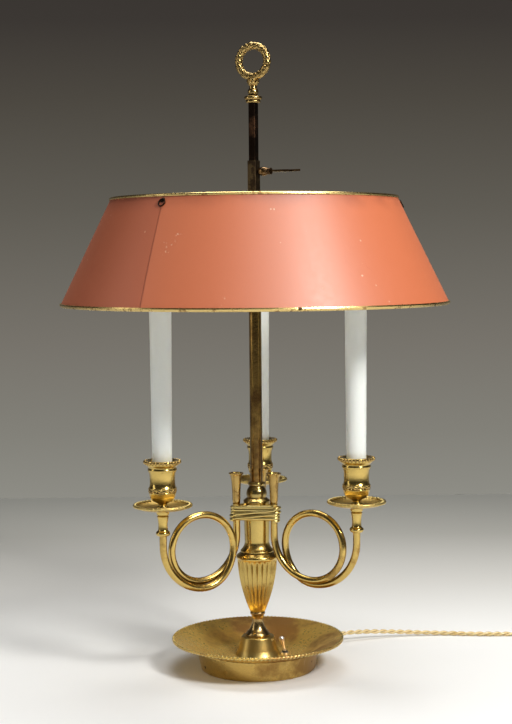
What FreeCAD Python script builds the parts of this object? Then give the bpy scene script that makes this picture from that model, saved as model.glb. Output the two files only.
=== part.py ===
# Bouillotte lamp: three horn-shaped arms on a dish base, candle lights under a sliding shade.
# Millimetres, +Z up, origin at the centre of the foot on the floor.
import FreeCAD, Part
import math
import os
import re
import Sketcher
from FreeCAD import Placement, Rotation, Vector

os.makedirs("parts", exist_ok=True)
doc = FreeCAD.newDocument("bouillotte_lamp")
sheet = doc.addObject("Spreadsheet::Sheet", "sizes")

# The driving dimensions, by name: millimetres, degrees and counts.
SIZES = {
    # foot, dish and what they hold
    "foot_radius": 64.8, "foot_flare": 3.2, "foot_height": 13.0, "foot_wall": 2.4,
    "dish_radius": 94.4, "dish_floor_radius": 68.5, "dish_wall": 1.8, "dish_depth": 21.2,
    "dish_curve": 62.0, "rim_bead": 2.6,
    "ballast_radius": 56.0, "ballast_height": 7.0, "ballast_notch": 11.0,
    "felt_height": 1.5, "felt_gap": 0.2,
    # tie rod through base, boss, knop and vase
    "tie_radius": 5.0, "tie_bore": 3.2, "tie_fit": 0.1, "tie_end": 6.0,
    "nut_radius": 8.5, "nut_height": 3.5,
    # boss, knop, vase and neck
    "boss_foot_radius": 25.0, "boss_waist_radius": 21.8, "boss_top_radius": 18.2, "boss_height": 20.7,
    "boss_wall": 1.8, "boss_corner": 2.5,
    "knop_radius": 14.2, "knop_edge": 2.4, "knop_neck_radius": 5.9, "knop_ring_radius": 8.6,
    "knop_height": 26.5, "knop_ring_height": 3.4,
    "flute_count": 24, "vase_foot_radius": 8.1, "vase_shoulder_radius": 21.6, "vase_height": 58.5,
    "vase_swell": 2.9, "flute_share": 0.30,
    "shoulder_ring_radius": 21.8, "shoulder_ring_height": 5.0, "step_ring_radius": 17.6,
    "waist_radius": 13.5, "waist_rise": 20.5, "neck_radius": 14.1, "neck_height": 62.6,
    # stem socket, stem, cap and square bar
    "socket_flange_radius": 14.0, "socket_flange_height": 5.5, "socket_bulb_radius": 10.4,
    "socket_ring_radius": 8.6, "socket_ring_height": 4.2, "socket_height": 22.6, "stem_seat": 7.0,
    "stem_radius": 6.7, "stem_wall": 1.1, "stem_length": 250.0, "stem_fit": 0.05,
    "cap_radius": 8.4, "cap_height": 12.0, "cap_spigot": 15.0,
    "bar_width": 8.0, "bar_length": 173.9, "bar_seat": 10.0, "bar_turn": 59.0, "bar_fit": 0.05,
    # finial
    "disc_radius": 9.0, "disc_height": 7.7, "disc_step": 1.5, "ball_radius": 6.9, "throat_radius": 4.0,
    "leaf_cup_radius": 6.5, "finial_stem_height": 25.0, "wreath_radius": 16.3, "wreath_tube": 4.0,
    "wreath_bite": 1.6,
    # sliding shade
    "sleeve_width": 10.1, "sleeve_length": 64.4, "sleeve_gap": 0.2, "sleeve_level": 490.0,
    "key_level": 542.5, "key_turn": -31.0, "key_neck_radius": 2.6, "key_bead_radius": 4.9,
    "key_bead_start": 6.0, "key_bead_length": 12.4, "key_collar_radius": 3.6, "key_collar_length": 3.2,
    "key_blade_length": 35.0, "key_blade_width": 11.0, "key_blade_thickness": 2.2, "key_slit": 2.4,
    "shade_top_radius": 155.0, "shade_bottom_radius": 208.6, "shade_height": 109.6,
    "shade_sheet": 0.9, "shade_level": 402.8, "top_bead": 1.7, "bottom_bead": 2.4,
    "spider_turn": 234.6, "spider_level": 505.7, "spider_width": 8.0, "spider_thickness": 2.4,
    "spider_count": 3, "hub_radius": 11.0, "hub_height": 9.0, "tab_height": 12.0,
    "screw_radius": 1.5, "screw_head_radius": 3.2, "screw_head_height": 1.6,
    # horn arms, band, pans, cups and candles
    "right_arm_turn": -30.0, "back_arm_turn": 84.4, "left_arm_turn": 210.0,
    "horn_radius": 3.9, "horn_start": 23.6, "horn_top": 217.0,
    "bell_radius": 7.2, "bell_height": 9.0,
    "horn_bend_level": 150.0, "loop_centre": 68.8, "loop_level": 139.4, "loop_radius": 36.2,
    "last_drop": 5.9, "pass_gap": 0.5, "side_shift": 1.85, "arm_reach": 118.2,
    "arm_bend_level": 147.0, "arm_top": 158.5,
    "band_bottom": 162.7, "band_height": 19.3, "band_strands": 4, "band_wall": 2.3, "band_fit": 0.05,
    "collar_radius": 7.2, "collar_height": 5.2, "ferrule_waist_radius": 5.1, "ferrule_top_radius": 8.2,
    "ferrule_height": 28.5, "ferrule_groove": 0.8,
    "pan_radius": 31.4, "pan_wall": 1.6, "pan_rise": 5.6, "pan_bead": 1.5, "pan_flat_radius": 22.0,
    "cup_stem_radius": 4.8, "cup_base_radius": 7.6, "cup_body_radius": 12.6, "cup_waist_radius": 12.0,
    "cup_step_radius": 14.0, "cup_rim_radius": 20.0, "cup_height": 50.6, "cup_bore_radius": 10.5,
    "cup_floor": 14.0,
    "candle_foot_radius": 10.2, "candle_top_radius": 11.8, "candle_wall": 1.2, "candle_height": 214.0,
    "holder_rod_radius": 3.0, "holder_radius": 10.1, "holder_height": 27.0, "holder_floor": 4.0,
    "bulb_cap_radius": 6.8, "bulb_cap_height": 23.0, "bulb_radius": 17.5, "bulb_height": 77.0, "bulb_tip_radius": 1.6,
    "bulb_glass": 0.9, "holder_fit": 0.3,
    # switch in the dish
    "switch_x": 29.6, "switch_y": -3.0, "switch_width": 8.0, "switch_depth": 9.0, "switch_height": 9.5,
    "bush_radius": 3.0, "bush_height": 3.6, "switch_nut_radius": 4.3, "switch_nut_height": 2.0,
    "lever_radius": 1.0, "lever_tip_radius": 1.9, "lever_length": 15.0, "lever_lean": 14.0,
    "lever_pivot": 0.4, "lever_ball": 1.7, "lever_gap": 0.3,
    # cord, bush and plug
    "exit_turn": 50.0, "exit_level": 7.6, "cord_bush_radius": 4.4, "cord_bush_tip": 3.4,
    "cord_bush_length": 22.0, "cord_radius": 2.75,
    "coil_x": 388.0, "coil_y": 88.4, "coil_turns": 4, "coil_inner": 15.6, "coil_outer": 39.6,
    "coil_lift": 6.0, "tail_length": 30.0,
    "plug_length": 35.0, "plug_width": 26.0, "plug_back": 13.0, "plug_thickness": 14.0,
    "pin_radius": 2.0, "pin_length": 19.0, "pin_spacing": 19.0,
}

for row, (alias, number) in enumerate(SIZES.items(), start=1):
    sheet.set(f"A{row}", alias)
    sheet.set(f"B{row}", str(number))
    sheet.setAlias(f"B{row}", alias)
doc.recompute()


def bound(text):
    """A sum of size names as an expression that reads the sheet."""
    return re.sub(r"[a-z]+_\w+", r"sizes.\g<0>", text)


def val(text):
    """The present value of a sum of size names."""
    return float(sheet.evalExpression(bound(text)))


# Levels above the floor, stacked from the sizes.
DISH_UNDER = "foot_height"
DISH_TOP = "foot_height + dish_wall"
RIM_TOP = "foot_height + dish_depth"
BOSS_TOP = f"({DISH_TOP} + boss_height)"
KNOP_TOP = f"({BOSS_TOP} + knop_height)"
VASE_TOP = f"({KNOP_TOP} + vase_height)"
NECK_TOP = f"({VASE_TOP} + neck_height)"
SOCKET_TOP = f"({NECK_TOP} + socket_height)"
STEM_FOOT = f"({NECK_TOP} + stem_seat)"
STEM_TOP = f"({STEM_FOOT} + stem_length)"
CAP_TOP = f"({STEM_TOP} + cap_height)"
BAR_FOOT = f"({CAP_TOP} - bar_seat)"
BAR_TOP = f"({BAR_FOOT} + bar_length)"
WREATH_FOOT = f"({BAR_TOP} + finial_stem_height)"
TIE_BORE = "tie_radius + tie_fit"
ARM_SHIFT_END = "(side_shift + 1.25 * (2 * horn_radius + pass_gap) / 2)"
ARM_SHIFT_START = "(side_shift - 1.25 * (2 * horn_radius + pass_gap) / 2)"
FERRULE_TOP = "(arm_top + ferrule_height)"
CUP_FOOT = f"({FERRULE_TOP} + pan_wall)"
CUP_TOP = f"({CUP_FOOT} + cup_height)"
CANDLE_FOOT = f"({CUP_FOOT} + cup_floor)"
CANDLE_TOP = f"({CANDLE_FOOT} + candle_height)"
HOLDER_TOP = f"({CANDLE_TOP} - 2)"
HOLDER_FOOT = f"({HOLDER_TOP} - holder_height)"
BULB_CAP_FOOT = f"({HOLDER_FOOT} + holder_floor + holder_fit)"
BULB_CAP_TOP = f"({BULB_CAP_FOOT} + bulb_cap_height)"
BULB_BELLY = "(bulb_height * 0.38)"
BULB_LOW_ARC = f"(((bulb_radius - bulb_cap_radius)^2 + {BULB_BELLY}^2) / 2 / (bulb_radius - bulb_cap_radius))"
BULB_HIGH_ARC = ("(((bulb_radius - bulb_tip_radius)^2 + (bulb_height * 0.62)^2)"
                 " / 2 / (bulb_radius - bulb_tip_radius))")
SHADE_TOP = "(shade_level + shade_height)"
ARM_TURNS = ("right_arm_turn", "back_arm_turn", "left_arm_turn")

nodes = []


def keep(thing, name):
    """Label a finished sub-part with its node name."""
    thing.Label = name
    nodes.append(thing)
    return thing


def origin_plane(body, role):
    return [part for part in body.Origin.OriginFeatures if part.Role == role][0]


def new_sketch(body, role, name):
    sketch = body.newObject("Sketcher::SketchObject", name)
    sketch.AttachmentSupport = [(origin_plane(body, role), "")]
    sketch.MapMode = "FlatFace"
    return sketch


def arc_between(start, end, radius):
    """The short arc from start to end; a positive radius keeps its centre on the left."""
    chord = end - start
    middle = (start + end) * 0.5
    left = Vector(-chord.y, chord.x, 0).normalize()
    lift = math.sqrt(max(radius * radius - chord.Length ** 2 / 4, 0))
    centre = middle + left * (lift if radius > 0 else -lift)
    first, last = (start, end) if radius > 0 else (end, start)
    circle = Part.Circle(centre, Vector(0, 0, 1), abs(radius))
    first_angle = math.atan2(first.y - centre.y, first.x - centre.x)
    last_angle = math.atan2(last.y - centre.y, last.x - centre.x)
    return Part.ArcOfCircle(circle, first_angle, last_angle)


def bind(sketch, constraint, text):
    index = sketch.addConstraint(constraint)
    sketch.setExpression(f"Constraints[{index}]", bound(text))


def draw(sketch, outline):
    """Draw a closed outline. Each point is (across, up) or (across, up, radius of the arc that
    arrives there); across, up and radius are sums of size names, and a radius after a minus
    sign bends the other way."""
    spots = [Vector(val(point[0]), val(point[1]), 0) for point in outline]
    ends = []
    for index, point in enumerate(outline):
        start, end = spots[index - 1], spots[index]
        if len(point) == 2:
            edge = sketch.addGeometry(Part.LineSegment(start, end))
            ends.append((edge, 1, 2))
            continue
        radius = val(point[2])
        edge = sketch.addGeometry(arc_between(start, end, radius))
        bind(sketch, Sketcher.Constraint("Radius", edge, abs(radius)), point[2].lstrip("-"))
        ends.append((edge, 1, 2) if radius > 0 else (edge, 2, 1))
    for index, point in enumerate(outline):
        edge, _, last = ends[index]
        following, first, _ = ends[(index + 1) % len(outline)]
        sketch.addConstraint(Sketcher.Constraint("Coincident", edge, last, following, first))
        for axis, kind, text, reach in ((-2, "DistanceX", point[0], spots[index].x),
                                        (-1, "DistanceY", point[1], spots[index].y)):
            if abs(reach) < 1e-7:
                sketch.addConstraint(Sketcher.Constraint("PointOnObject", edge, last, axis))
            else:
                bind(sketch, Sketcher.Constraint(kind, -1, 1, edge, last, reach), text)


def place(thing, across="", depth="", up="", turn=""):
    """Bind a sub-part's place, and its turn about its upright axis, to the sizes."""
    thing.Placement = Placement(Vector(0, 0, 0), Rotation(Vector(0, 0, 1), 1))
    thing.setExpression("Placement.Rotation.Angle", bound(turn or "0") + " * 1 deg")
    for axis, text in (("x", across), ("y", depth), ("z", up)):
        if text:
            thing.setExpression(f"Placement.Base.{axis}", bound(text))


def turned(name, outline, whole=True):
    """A sub-part turned about the upright axis from an outline of radius and height."""
    body = doc.addObject("PartDesign::Body", name)
    sketch = new_sketch(body, "XZ_Plane", name + "_outline")
    draw(sketch, outline)
    turn = body.newObject("PartDesign::Revolution", name + "_turn")
    turn.Profile = sketch
    turn.ReferenceAxis = (sketch, ["V_Axis"])
    turn.Angle = 360
    return keep(body, name) if whole else body


def shaped(name, shape):
    """A sub-part whose form comes straight from curves and sweeps."""
    feature = doc.addObject("Part::Feature", name)
    feature.Shape = shape
    return keep(feature, name)


def arm_place(turn):
    """Expressions for the upright axis at the end of the arm with this turn."""
    across = f"arm_reach * cos({turn} * 1deg) - {ARM_SHIFT_END} * sin({turn} * 1deg)"
    depth = f"arm_reach * sin({turn} * 1deg) + {ARM_SHIFT_END} * cos({turn} * 1deg)"
    return across, depth


# Foot, dish, ballast and felt
foot = turned("foot_ring", [
    ("foot_radius - foot_wall", "0"),
    ("foot_radius", "0"),
    ("foot_radius + foot_flare", DISH_UNDER),
    ("foot_radius + foot_flare - foot_wall", DISH_UNDER),
])
exit_sketch = new_sketch(foot, "YZ_Plane", "cord_hole_outline")
exit_hole = exit_sketch.addGeometry(Part.Circle(Vector(0, val("exit_level"), 0), Vector(0, 0, 1),
                                                val("cord_bush_tip")))
exit_sketch.addConstraint(Sketcher.Constraint("PointOnObject", exit_hole, 3, -2))
bind(exit_sketch, Sketcher.Constraint("DistanceY", -1, 1, exit_hole, 3, val("exit_level")), "exit_level")
bind(exit_sketch, Sketcher.Constraint("Radius", exit_hole, val("cord_bush_tip")), "cord_bush_tip")
cord_hole = foot.newObject("PartDesign::Pocket", "cord_hole")
cord_hole.Profile = exit_sketch
cord_hole.Type = "Length"
cord_hole.setExpression("Length", bound("foot_radius + foot_flare + foot_wall"))
cord_hole.Reversed = True
place(foot, turn="exit_turn")

turned("dish", [
    (TIE_BORE, DISH_UNDER),
    ("dish_floor_radius", DISH_UNDER),
    ("dish_radius - rim_bead", f"{RIM_TOP} - rim_bead", "dish_curve"),
    ("dish_radius", f"{RIM_TOP} - rim_bead / 2", "rim_bead"),
    ("dish_radius - rim_bead / 2", RIM_TOP, "rim_bead"),
    ("dish_radius - rim_bead", f"{RIM_TOP} - rim_bead / 2", "rim_bead"),
    ("dish_floor_radius - dish_wall", DISH_TOP, "-dish_curve"),
    (TIE_BORE, DISH_TOP),
])

ballast = turned("ballast_disc", [
    ("nut_radius + 1", "foot_height - ballast_height"),
    ("ballast_radius", "foot_height - ballast_height"),
    ("ballast_radius", DISH_UNDER),
    (TIE_BORE, DISH_UNDER),
    (TIE_BORE, f"{DISH_UNDER} - ballast_height / 2"),
    ("nut_radius + 1", f"{DISH_UNDER} - ballast_height / 2"),
])
notch_sketch = new_sketch(ballast, "XY_Plane", "switch_notch_outline")
notch = notch_sketch.addGeometry(Part.Circle(Vector(val("switch_x"), val("switch_y"), 0),
                                             Vector(0, 0, 1), val("ballast_notch")))
bind(notch_sketch, Sketcher.Constraint("DistanceX", -1, 1, notch, 3, val("switch_x")), "switch_x")
bind(notch_sketch, Sketcher.Constraint("DistanceY", -1, 1, notch, 3, val("switch_y")), "switch_y")
bind(notch_sketch, Sketcher.Constraint("Radius", notch, val("ballast_notch")), "ballast_notch")
notch_cut = ballast.newObject("PartDesign::Pocket", "switch_notch")
notch_cut.Profile = notch_sketch
notch_cut.Type = "ThroughAll"
notch_cut.Midplane = True

turned("base_felt", [
    ("0", "0.5"),
    ("foot_radius - foot_wall - felt_gap", "0.5"),
    ("foot_radius - foot_wall - felt_gap", "felt_height + 0.5"),
    ("0", "felt_height + 0.5"),
])

# Tie rod with its nut, boss, knop, vase and neck
TIE_TOP = f"({NECK_TOP} - 4)"
turned("tie_rod", [
    ("tie_bore", "tie_end - 2"),
    ("tie_radius", "tie_end - 2"),
    ("tie_radius", TIE_TOP),
    ("tie_bore", TIE_TOP),
])
turned("tie_nut", [
    (TIE_BORE, f"{DISH_UNDER} - ballast_height / 2 - nut_height"),
    ("nut_radius", f"{DISH_UNDER} - ballast_height / 2 - nut_height"),
    ("nut_radius", f"{DISH_UNDER} - ballast_height / 2"),
    (TIE_BORE, f"{DISH_UNDER} - ballast_height / 2"),
])
turned("boss", [
    ("boss_foot_radius - boss_wall", DISH_TOP),
    ("boss_foot_radius", DISH_TOP),
    ("boss_waist_radius", f"{DISH_TOP} + boss_height * 0.3", "-boss_height * 1.6"),
    ("boss_top_radius", f"{BOSS_TOP} - boss_corner"),
    ("boss_top_radius - boss_corner", BOSS_TOP, "boss_corner * 1.05"),
    (TIE_BORE, BOSS_TOP),
    (TIE_BORE, f"{BOSS_TOP} - boss_wall"),
    ("boss_top_radius - boss_wall - boss_corner", f"{BOSS_TOP} - boss_wall"),
    ("boss_waist_radius - boss_wall", f"{DISH_TOP} + boss_height * 0.3"),
])
turned("knop", [
    (TIE_BORE, BOSS_TOP),
    ("knop_radius - knop_edge / 2", BOSS_TOP),
    ("knop_radius - knop_edge / 2", f"{BOSS_TOP} + knop_edge", "knop_edge * 0.6"),
    ("knop_radius * 0.78", f"{BOSS_TOP} + knop_edge + 2.4", "knop_height * 0.45"),
    ("knop_neck_radius", f"{BOSS_TOP} + knop_height * 0.66", "-knop_height * 0.75"),
    ("knop_ring_radius - 1.2", f"{KNOP_TOP} - knop_ring_height", "-knop_height * 0.3"),
    ("knop_ring_radius - 1.2", KNOP_TOP, "knop_ring_height * 0.62"),
    (TIE_BORE, KNOP_TOP),
])


def fluted_vase():
    """The vase body, lofted through scalloped rings so that its flutes narrow with it."""
    foot_level, top_level = val(KNOP_TOP), val(VASE_TOP)
    count = int(val("flute_count"))
    rings = []
    steps = (0.0, 0.25, 0.5, 0.75, 0.94, 1.0)
    for step in steps:
        straight = val("vase_foot_radius") + step * (val("vase_shoulder_radius") - val("vase_foot_radius"))
        radius = straight + val("vase_swell") * 4 * step * (1 - step)
        pitch = 2 * math.pi / count
        depth = radius * pitch * val("flute_share") * (0.25 if step == 1.0 else 1.0)
        level = foot_level + step * (top_level - foot_level)
        edges = []
        for index in range(count):
            angles = (pitch * index, pitch * (index + 0.5), pitch * (index + 1))
            reaches = (radius, radius - depth, radius)
            points = [Vector(reach * math.cos(angle), reach * math.sin(angle), level)
                      for reach, angle in zip(reaches, angles)]
            edges.append(Part.Arc(*points).toShape())
        rings.append(Part.Wire(edges))
    body = Part.makeLoft(rings, True, False)
    bore = Part.makeCylinder(val(TIE_BORE), top_level - foot_level + 2, Vector(0, 0, foot_level - 1))
    return body.cut(bore)


shaped("fluted_vase", fluted_vase())
turned("vase_neck", [
    (TIE_BORE, VASE_TOP),
    ("shoulder_ring_radius", VASE_TOP),
    ("shoulder_ring_radius", f"{VASE_TOP} + shoulder_ring_height", "shoulder_ring_height * 0.62"),
    ("step_ring_radius", f"{VASE_TOP} + shoulder_ring_height + 3"),
    ("step_ring_radius", f"{VASE_TOP} + shoulder_ring_height + 5.4", "1.4"),
    ("waist_radius", f"{VASE_TOP} + waist_rise", "-waist_rise * 0.6"),
    ("neck_radius", f"{VASE_TOP} + neck_height - band_height - 2"),
    ("neck_radius", NECK_TOP),
    ("stem_radius + stem_fit", NECK_TOP),
    ("stem_radius + stem_fit", TIE_TOP),
    (TIE_BORE, TIE_TOP),
])

# Stem socket, stem, cap and square bar
turned("stem_socket", [
    ("tie_radius", NECK_TOP),
    ("socket_flange_radius", NECK_TOP),
    ("socket_flange_radius", f"{NECK_TOP} + socket_flange_height * 0.5", "socket_flange_height * 0.32"),
    ("socket_bulb_radius", f"{NECK_TOP} + socket_flange_height"),
    ("socket_bulb_radius - 1.6", f"{SOCKET_TOP} - socket_ring_height - 2", "socket_bulb_radius * 1.05"),
    ("socket_bulb_radius - 2.6", f"{SOCKET_TOP} - socket_ring_height"),
    ("socket_ring_radius", f"{SOCKET_TOP} - socket_ring_height"),
    ("socket_ring_radius", SOCKET_TOP, "socket_ring_height * 0.7"),
    ("stem_radius + stem_fit", SOCKET_TOP),
    ("stem_radius + stem_fit", STEM_FOOT),
    ("tie_radius", STEM_FOOT),
])
turned("stem_tube", [
    ("stem_radius - stem_wall", STEM_FOOT),
    ("stem_radius", STEM_FOOT),
    ("stem_radius", STEM_TOP),
    ("stem_radius - stem_wall", STEM_TOP),
])
cap = turned("stem_cap", [
    ("0", f"{STEM_TOP} - cap_spigot"),
    ("stem_radius - stem_wall - stem_fit", f"{STEM_TOP} - cap_spigot"),
    ("stem_radius - stem_wall - stem_fit", STEM_TOP),
    ("cap_radius", STEM_TOP),
    ("cap_radius", f"{CAP_TOP} - 2", "cap_height * 1.2"),
    ("cap_radius - 1.6", CAP_TOP),
    ("0", CAP_TOP),
])


def square(sketch, width):
    """A centred square whose side is bound to a size."""
    half = val(width) / 2
    corners = [Vector(-half, -half, 0), Vector(half, -half, 0), Vector(half, half, 0), Vector(-half, half, 0)]
    for index in range(4):
        sketch.addGeometry(Part.LineSegment(corners[index], corners[(index + 1) % 4]))
    for index in range(4):
        sketch.addConstraint(Sketcher.Constraint("Coincident", index, 2, (index + 1) % 4, 1))
    for index, kind in enumerate(("Horizontal", "Vertical", "Horizontal", "Vertical")):
        sketch.addConstraint(Sketcher.Constraint(kind, index))
    sketch.addConstraint(Sketcher.Constraint("Symmetric", 0, 1, 1, 2, -1, 1))
    bind(sketch, Sketcher.Constraint("DistanceX", 0, 1, 0, 2, 2 * half), width)
    bind(sketch, Sketcher.Constraint("DistanceY", 1, 1, 1, 2, 2 * half), width)


def bar_hole(body, level, width, length):
    """A square hole upwards from a level, turned with the bar by the body's own place."""
    sketch = new_sketch(body, "XY_Plane", body.Name + "_hole_outline")
    sketch.setExpression("AttachmentOffset.Base.z", bound(level))
    square(sketch, width)
    hole = body.newObject("PartDesign::Pocket", body.Name + "_hole")
    hole.Profile = sketch
    hole.Type = "Length"
    hole.setExpression("Length", bound(length))
    hole.Reversed = True


bar_hole(cap, BAR_FOOT, "bar_width + 2 * bar_fit", "bar_seat + 1")
place(cap, turn="bar_turn")


def square_tube(name, level, width, length, edge, bore=""):
    body = doc.addObject("PartDesign::Body", name)
    sketch = new_sketch(body, "XY_Plane", name + "_outline")
    square(sketch, width)
    pad = body.newObject("PartDesign::Pad", name + "_pad")
    pad.Profile = sketch
    pad.setExpression("Length", bound(length))
    doc.recompute()
    corners = [f"Edge{index + 1}" for index, side in enumerate(pad.Shape.Edges)
               if abs(side.tangentAt(side.FirstParameter).z) > 0.9]
    chamfer = body.newObject("PartDesign::Chamfer", name + "_edges")
    chamfer.Base = (pad, corners)
    chamfer.Size = edge
    if bore:
        bar_hole(body, "0 * bar_width", bore, length)
    place(body, up=level, turn="bar_turn")
    return keep(body, name)


square_tube("square_bar", BAR_FOOT, "bar_width", "bar_length", 0.5)

# Finial
turned("finial_stem", [
    ("0", BAR_TOP),
    ("disc_radius - disc_step", BAR_TOP),
    ("disc_radius - disc_step", f"{BAR_TOP} + disc_height * 0.36", "disc_height * 0.25"),
    ("disc_radius", f"{BAR_TOP} + disc_height * 0.44"),
    ("disc_radius", f"{BAR_TOP} + disc_height * 0.9", "disc_height * 0.32"),
    ("ball_radius - 2.2", f"{BAR_TOP} + disc_height + 0.8"),
    ("ball_radius - 2.6", f"{BAR_TOP} + disc_height + 7.6", "ball_radius * 0.72"),
    ("throat_radius", f"{WREATH_FOOT} - 7"),
    ("leaf_cup_radius", f"{WREATH_FOOT} - 1", "-leaf_cup_radius * 1.1"),
    ("leaf_cup_radius - 1.2", f"{WREATH_FOOT} + wreath_bite - 1"),
    ("0", f"{WREATH_FOOT} - 0.4"),
])
wreath = doc.addObject("Part::Torus", "wreath_ring")
wreath.setExpression("Radius1", bound("wreath_radius"))
wreath.setExpression("Radius2", bound("wreath_tube"))
ring_level = val(WREATH_FOOT) + val("wreath_radius") + val("wreath_tube")
upright = Rotation(Vector(0, 0, 1), val("bar_turn") - 90) * Rotation(Vector(1, 0, 0), 90)
wreath.Placement = Placement(Vector(0, 0, ring_level), upright)
wreath.setExpression("Placement.Base.z", bound(f"{WREATH_FOOT} + wreath_radius + wreath_tube"))
keep(wreath, "wreath_ring")

# Sliding shade: sleeve, spider, sheet, gilt rims and screws
square_tube("shade_sleeve", "sleeve_level", "sleeve_width", "sleeve_length", 0.4,
            "bar_width + 2 * sleeve_gap")


def thumb_screw():
    """The clamping key: shank, bead, collar and an arrow-shaped blade, along its own axis."""
    start = val("bar_width") / 2 + 0.3
    bead_start = val("key_bead_start")
    bead_end = bead_start + val("key_bead_length")
    collar_end = bead_end + val("key_collar_length")
    neck, bead, collar = val("key_neck_radius"), val("key_bead_radius"), val("key_collar_radius")
    slim = neck * 0.6
    middle = (bead_start + bead_end) / 2
    edges = [
        Part.makeLine(Vector(start, 0, 0), Vector(start, 0, slim)),
        Part.makeLine(Vector(start, 0, slim), Vector(val("sleeve_width") / 2 + 0.3, 0, slim)),
        Part.makeLine(Vector(val("sleeve_width") / 2 + 0.3, 0, slim), Vector(bead_start, 0, neck)),
        Part.Arc(Vector(bead_start, 0, neck), Vector(middle, 0, bead), Vector(bead_end, 0, neck)).toShape(),
        Part.makeLine(Vector(bead_end, 0, neck), Vector(bead_end, 0, collar)),
        Part.makeLine(Vector(bead_end, 0, collar), Vector(collar_end, 0, collar)),
        Part.makeLine(Vector(collar_end, 0, collar), Vector(collar_end, 0, 0)),
        Part.makeLine(Vector(collar_end, 0, 0), Vector(start, 0, 0)),
    ]
    shank = Part.Face(Part.Wire(edges)).revolve(Vector(0, 0, 0), Vector(1, 0, 0), 360)
    half, length, slit = val("key_blade_width") / 2, val("key_blade_length"), val("key_slit") / 2
    tip = collar_end + length
    outline = [
        (collar_end - 1, -1.6), (collar_end + length * 0.12, -half), (collar_end + length * 0.45, -half * 0.8),
        (collar_end + length * 0.66, -slit - 1.2), (collar_end + length * 0.42, -slit),
        (collar_end + length * 0.42, slit), (tip, slit + 0.4), (tip - 1, slit + 2.2),
        (collar_end + length * 0.45, half * 0.8), (collar_end + length * 0.12, half), (collar_end - 1, 1.6),
    ]
    corners = [Vector(across, side, -val("key_blade_thickness") / 2) for across, side in outline]
    blade = Part.Face(Part.makePolygon(corners + corners[:1])).extrude(Vector(0, 0, val("key_blade_thickness")))
    return shank.fuse(blade).removeSplitter()


key = shaped("thumb_screw", thumb_screw())
place(key, up="key_level", turn="key_turn")
sleeve = [node for node in nodes if node.Label == "shade_sleeve"][0]
key_sketch = new_sketch(sleeve, "XZ_Plane", "key_hole_outline")
key_hole = key_sketch.addGeometry(Part.Circle(Vector(0, val("key_level - sleeve_level"), 0),
                                              Vector(0, 0, 1), val("key_neck_radius * 0.6") + 0.05))
key_sketch.addConstraint(Sketcher.Constraint("PointOnObject", key_hole, 3, -2))
bind(key_sketch, Sketcher.Constraint("DistanceY", -1, 1, key_hole, 3, val("key_level - sleeve_level")),
     "key_level - sleeve_level")
bind(key_sketch, Sketcher.Constraint("Radius", key_hole, 1.61), "key_neck_radius * 0.6 + 0.05")
key_cut = sleeve.newObject("PartDesign::Pocket", "key_hole")
key_cut.Profile = key_sketch
key_cut.Type = "Length"
key_cut.setExpression("Length", bound("sleeve_width"))
key_cut.Reversed = True

CONE_SLOPE = "((shade_bottom_radius - shade_top_radius) / shade_height)"
cone_sheet = turned("cone_sheet", [
    ("shade_bottom_radius - shade_sheet", "shade_level"),
    ("shade_bottom_radius", "shade_level"),
    ("shade_top_radius", SHADE_TOP),
    ("shade_top_radius - shade_sheet", SHADE_TOP),
], whole=False)
# The rolled edges, as shares of the bead's radius out from the sheet and away from it.
BEAD = ((0.8, 0), (1, 0.6), (0.8, 1.2), (0.35, 1.6), (-0.35, 1.6), (-0.8, 1.2), (-1, 0.6), (-0.8, 0))
turned("shade_top_rim", [
    (f"shade_top_radius - shade_sheet / 2 + top_bead * ({out})", f"{SHADE_TOP} + top_bead * {away}")
    for out, away in BEAD
])
turned("shade_bottom_rim", [
    (f"shade_bottom_radius - shade_sheet / 2 - bottom_bead * ({out})", f"shade_level - bottom_bead * {away}")
    for out, away in BEAD
])


def spider_reach(level):
    """The radius of the inner face of the shade at a level."""
    return (val("shade_top_radius") - val("shade_sheet")
            + (val(SHADE_TOP) - level) * val(CONE_SLOPE))


def spider():
    """A hub round the sleeve and flat arms that end in tabs against the sheet."""
    level, thick = val("spider_level"), val("spider_thickness")
    wide, tall, count = val("spider_width"), val("tab_height"), int(val("spider_count"))
    hub_foot = level - val("hub_height") / 2
    solid = Part.makeCylinder(val("hub_radius"), val("hub_height"), Vector(0, 0, hub_foot))
    slope = math.atan(val(CONE_SLOPE))
    for index in range(count):
        low, high = level - tall / 2, level + tall / 2
        gap = 0.1 / math.cos(slope)
        outline = [
            Vector(val("hub_radius") - 2, 0, level - thick / 2),
            Vector(spider_reach(level) - gap - 2.2, 0, level - thick / 2),
            Vector(spider_reach(low) - gap - 2.0, 0, low),
            Vector(spider_reach(low) - gap, 0, low),
            Vector(spider_reach(high) - gap, 0, high),
            Vector(spider_reach(high) - gap - 2.0, 0, high),
            Vector(spider_reach(level) - gap - 2.8, 0, level + thick / 2),
            Vector(val("hub_radius") - 2, 0, level + thick / 2),
        ]
        face = Part.Face(Part.makePolygon(outline + outline[:1]))
        arm = face.extrude(Vector(0, wide, 0))
        arm.translate(Vector(0, -wide / 2, 0))
        arm.rotate(Vector(0, 0, 0), Vector(0, 0, 1), val("spider_turn") + 360 / count * index)
        solid = solid.fuse(arm)
    hole = val("sleeve_width") + 0.06
    bore = Part.makeBox(hole, hole, 3 * val("hub_height"), Vector(-hole / 2, -hole / 2, hub_foot - val("hub_height")))
    bore.rotate(Vector(0, 0, 0), Vector(0, 0, 1), val("bar_turn"))
    solid = solid.cut(bore)
    for tool in screw_tools(0.06):
        solid = solid.cut(tool)
    return solid.removeSplitter()


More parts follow.
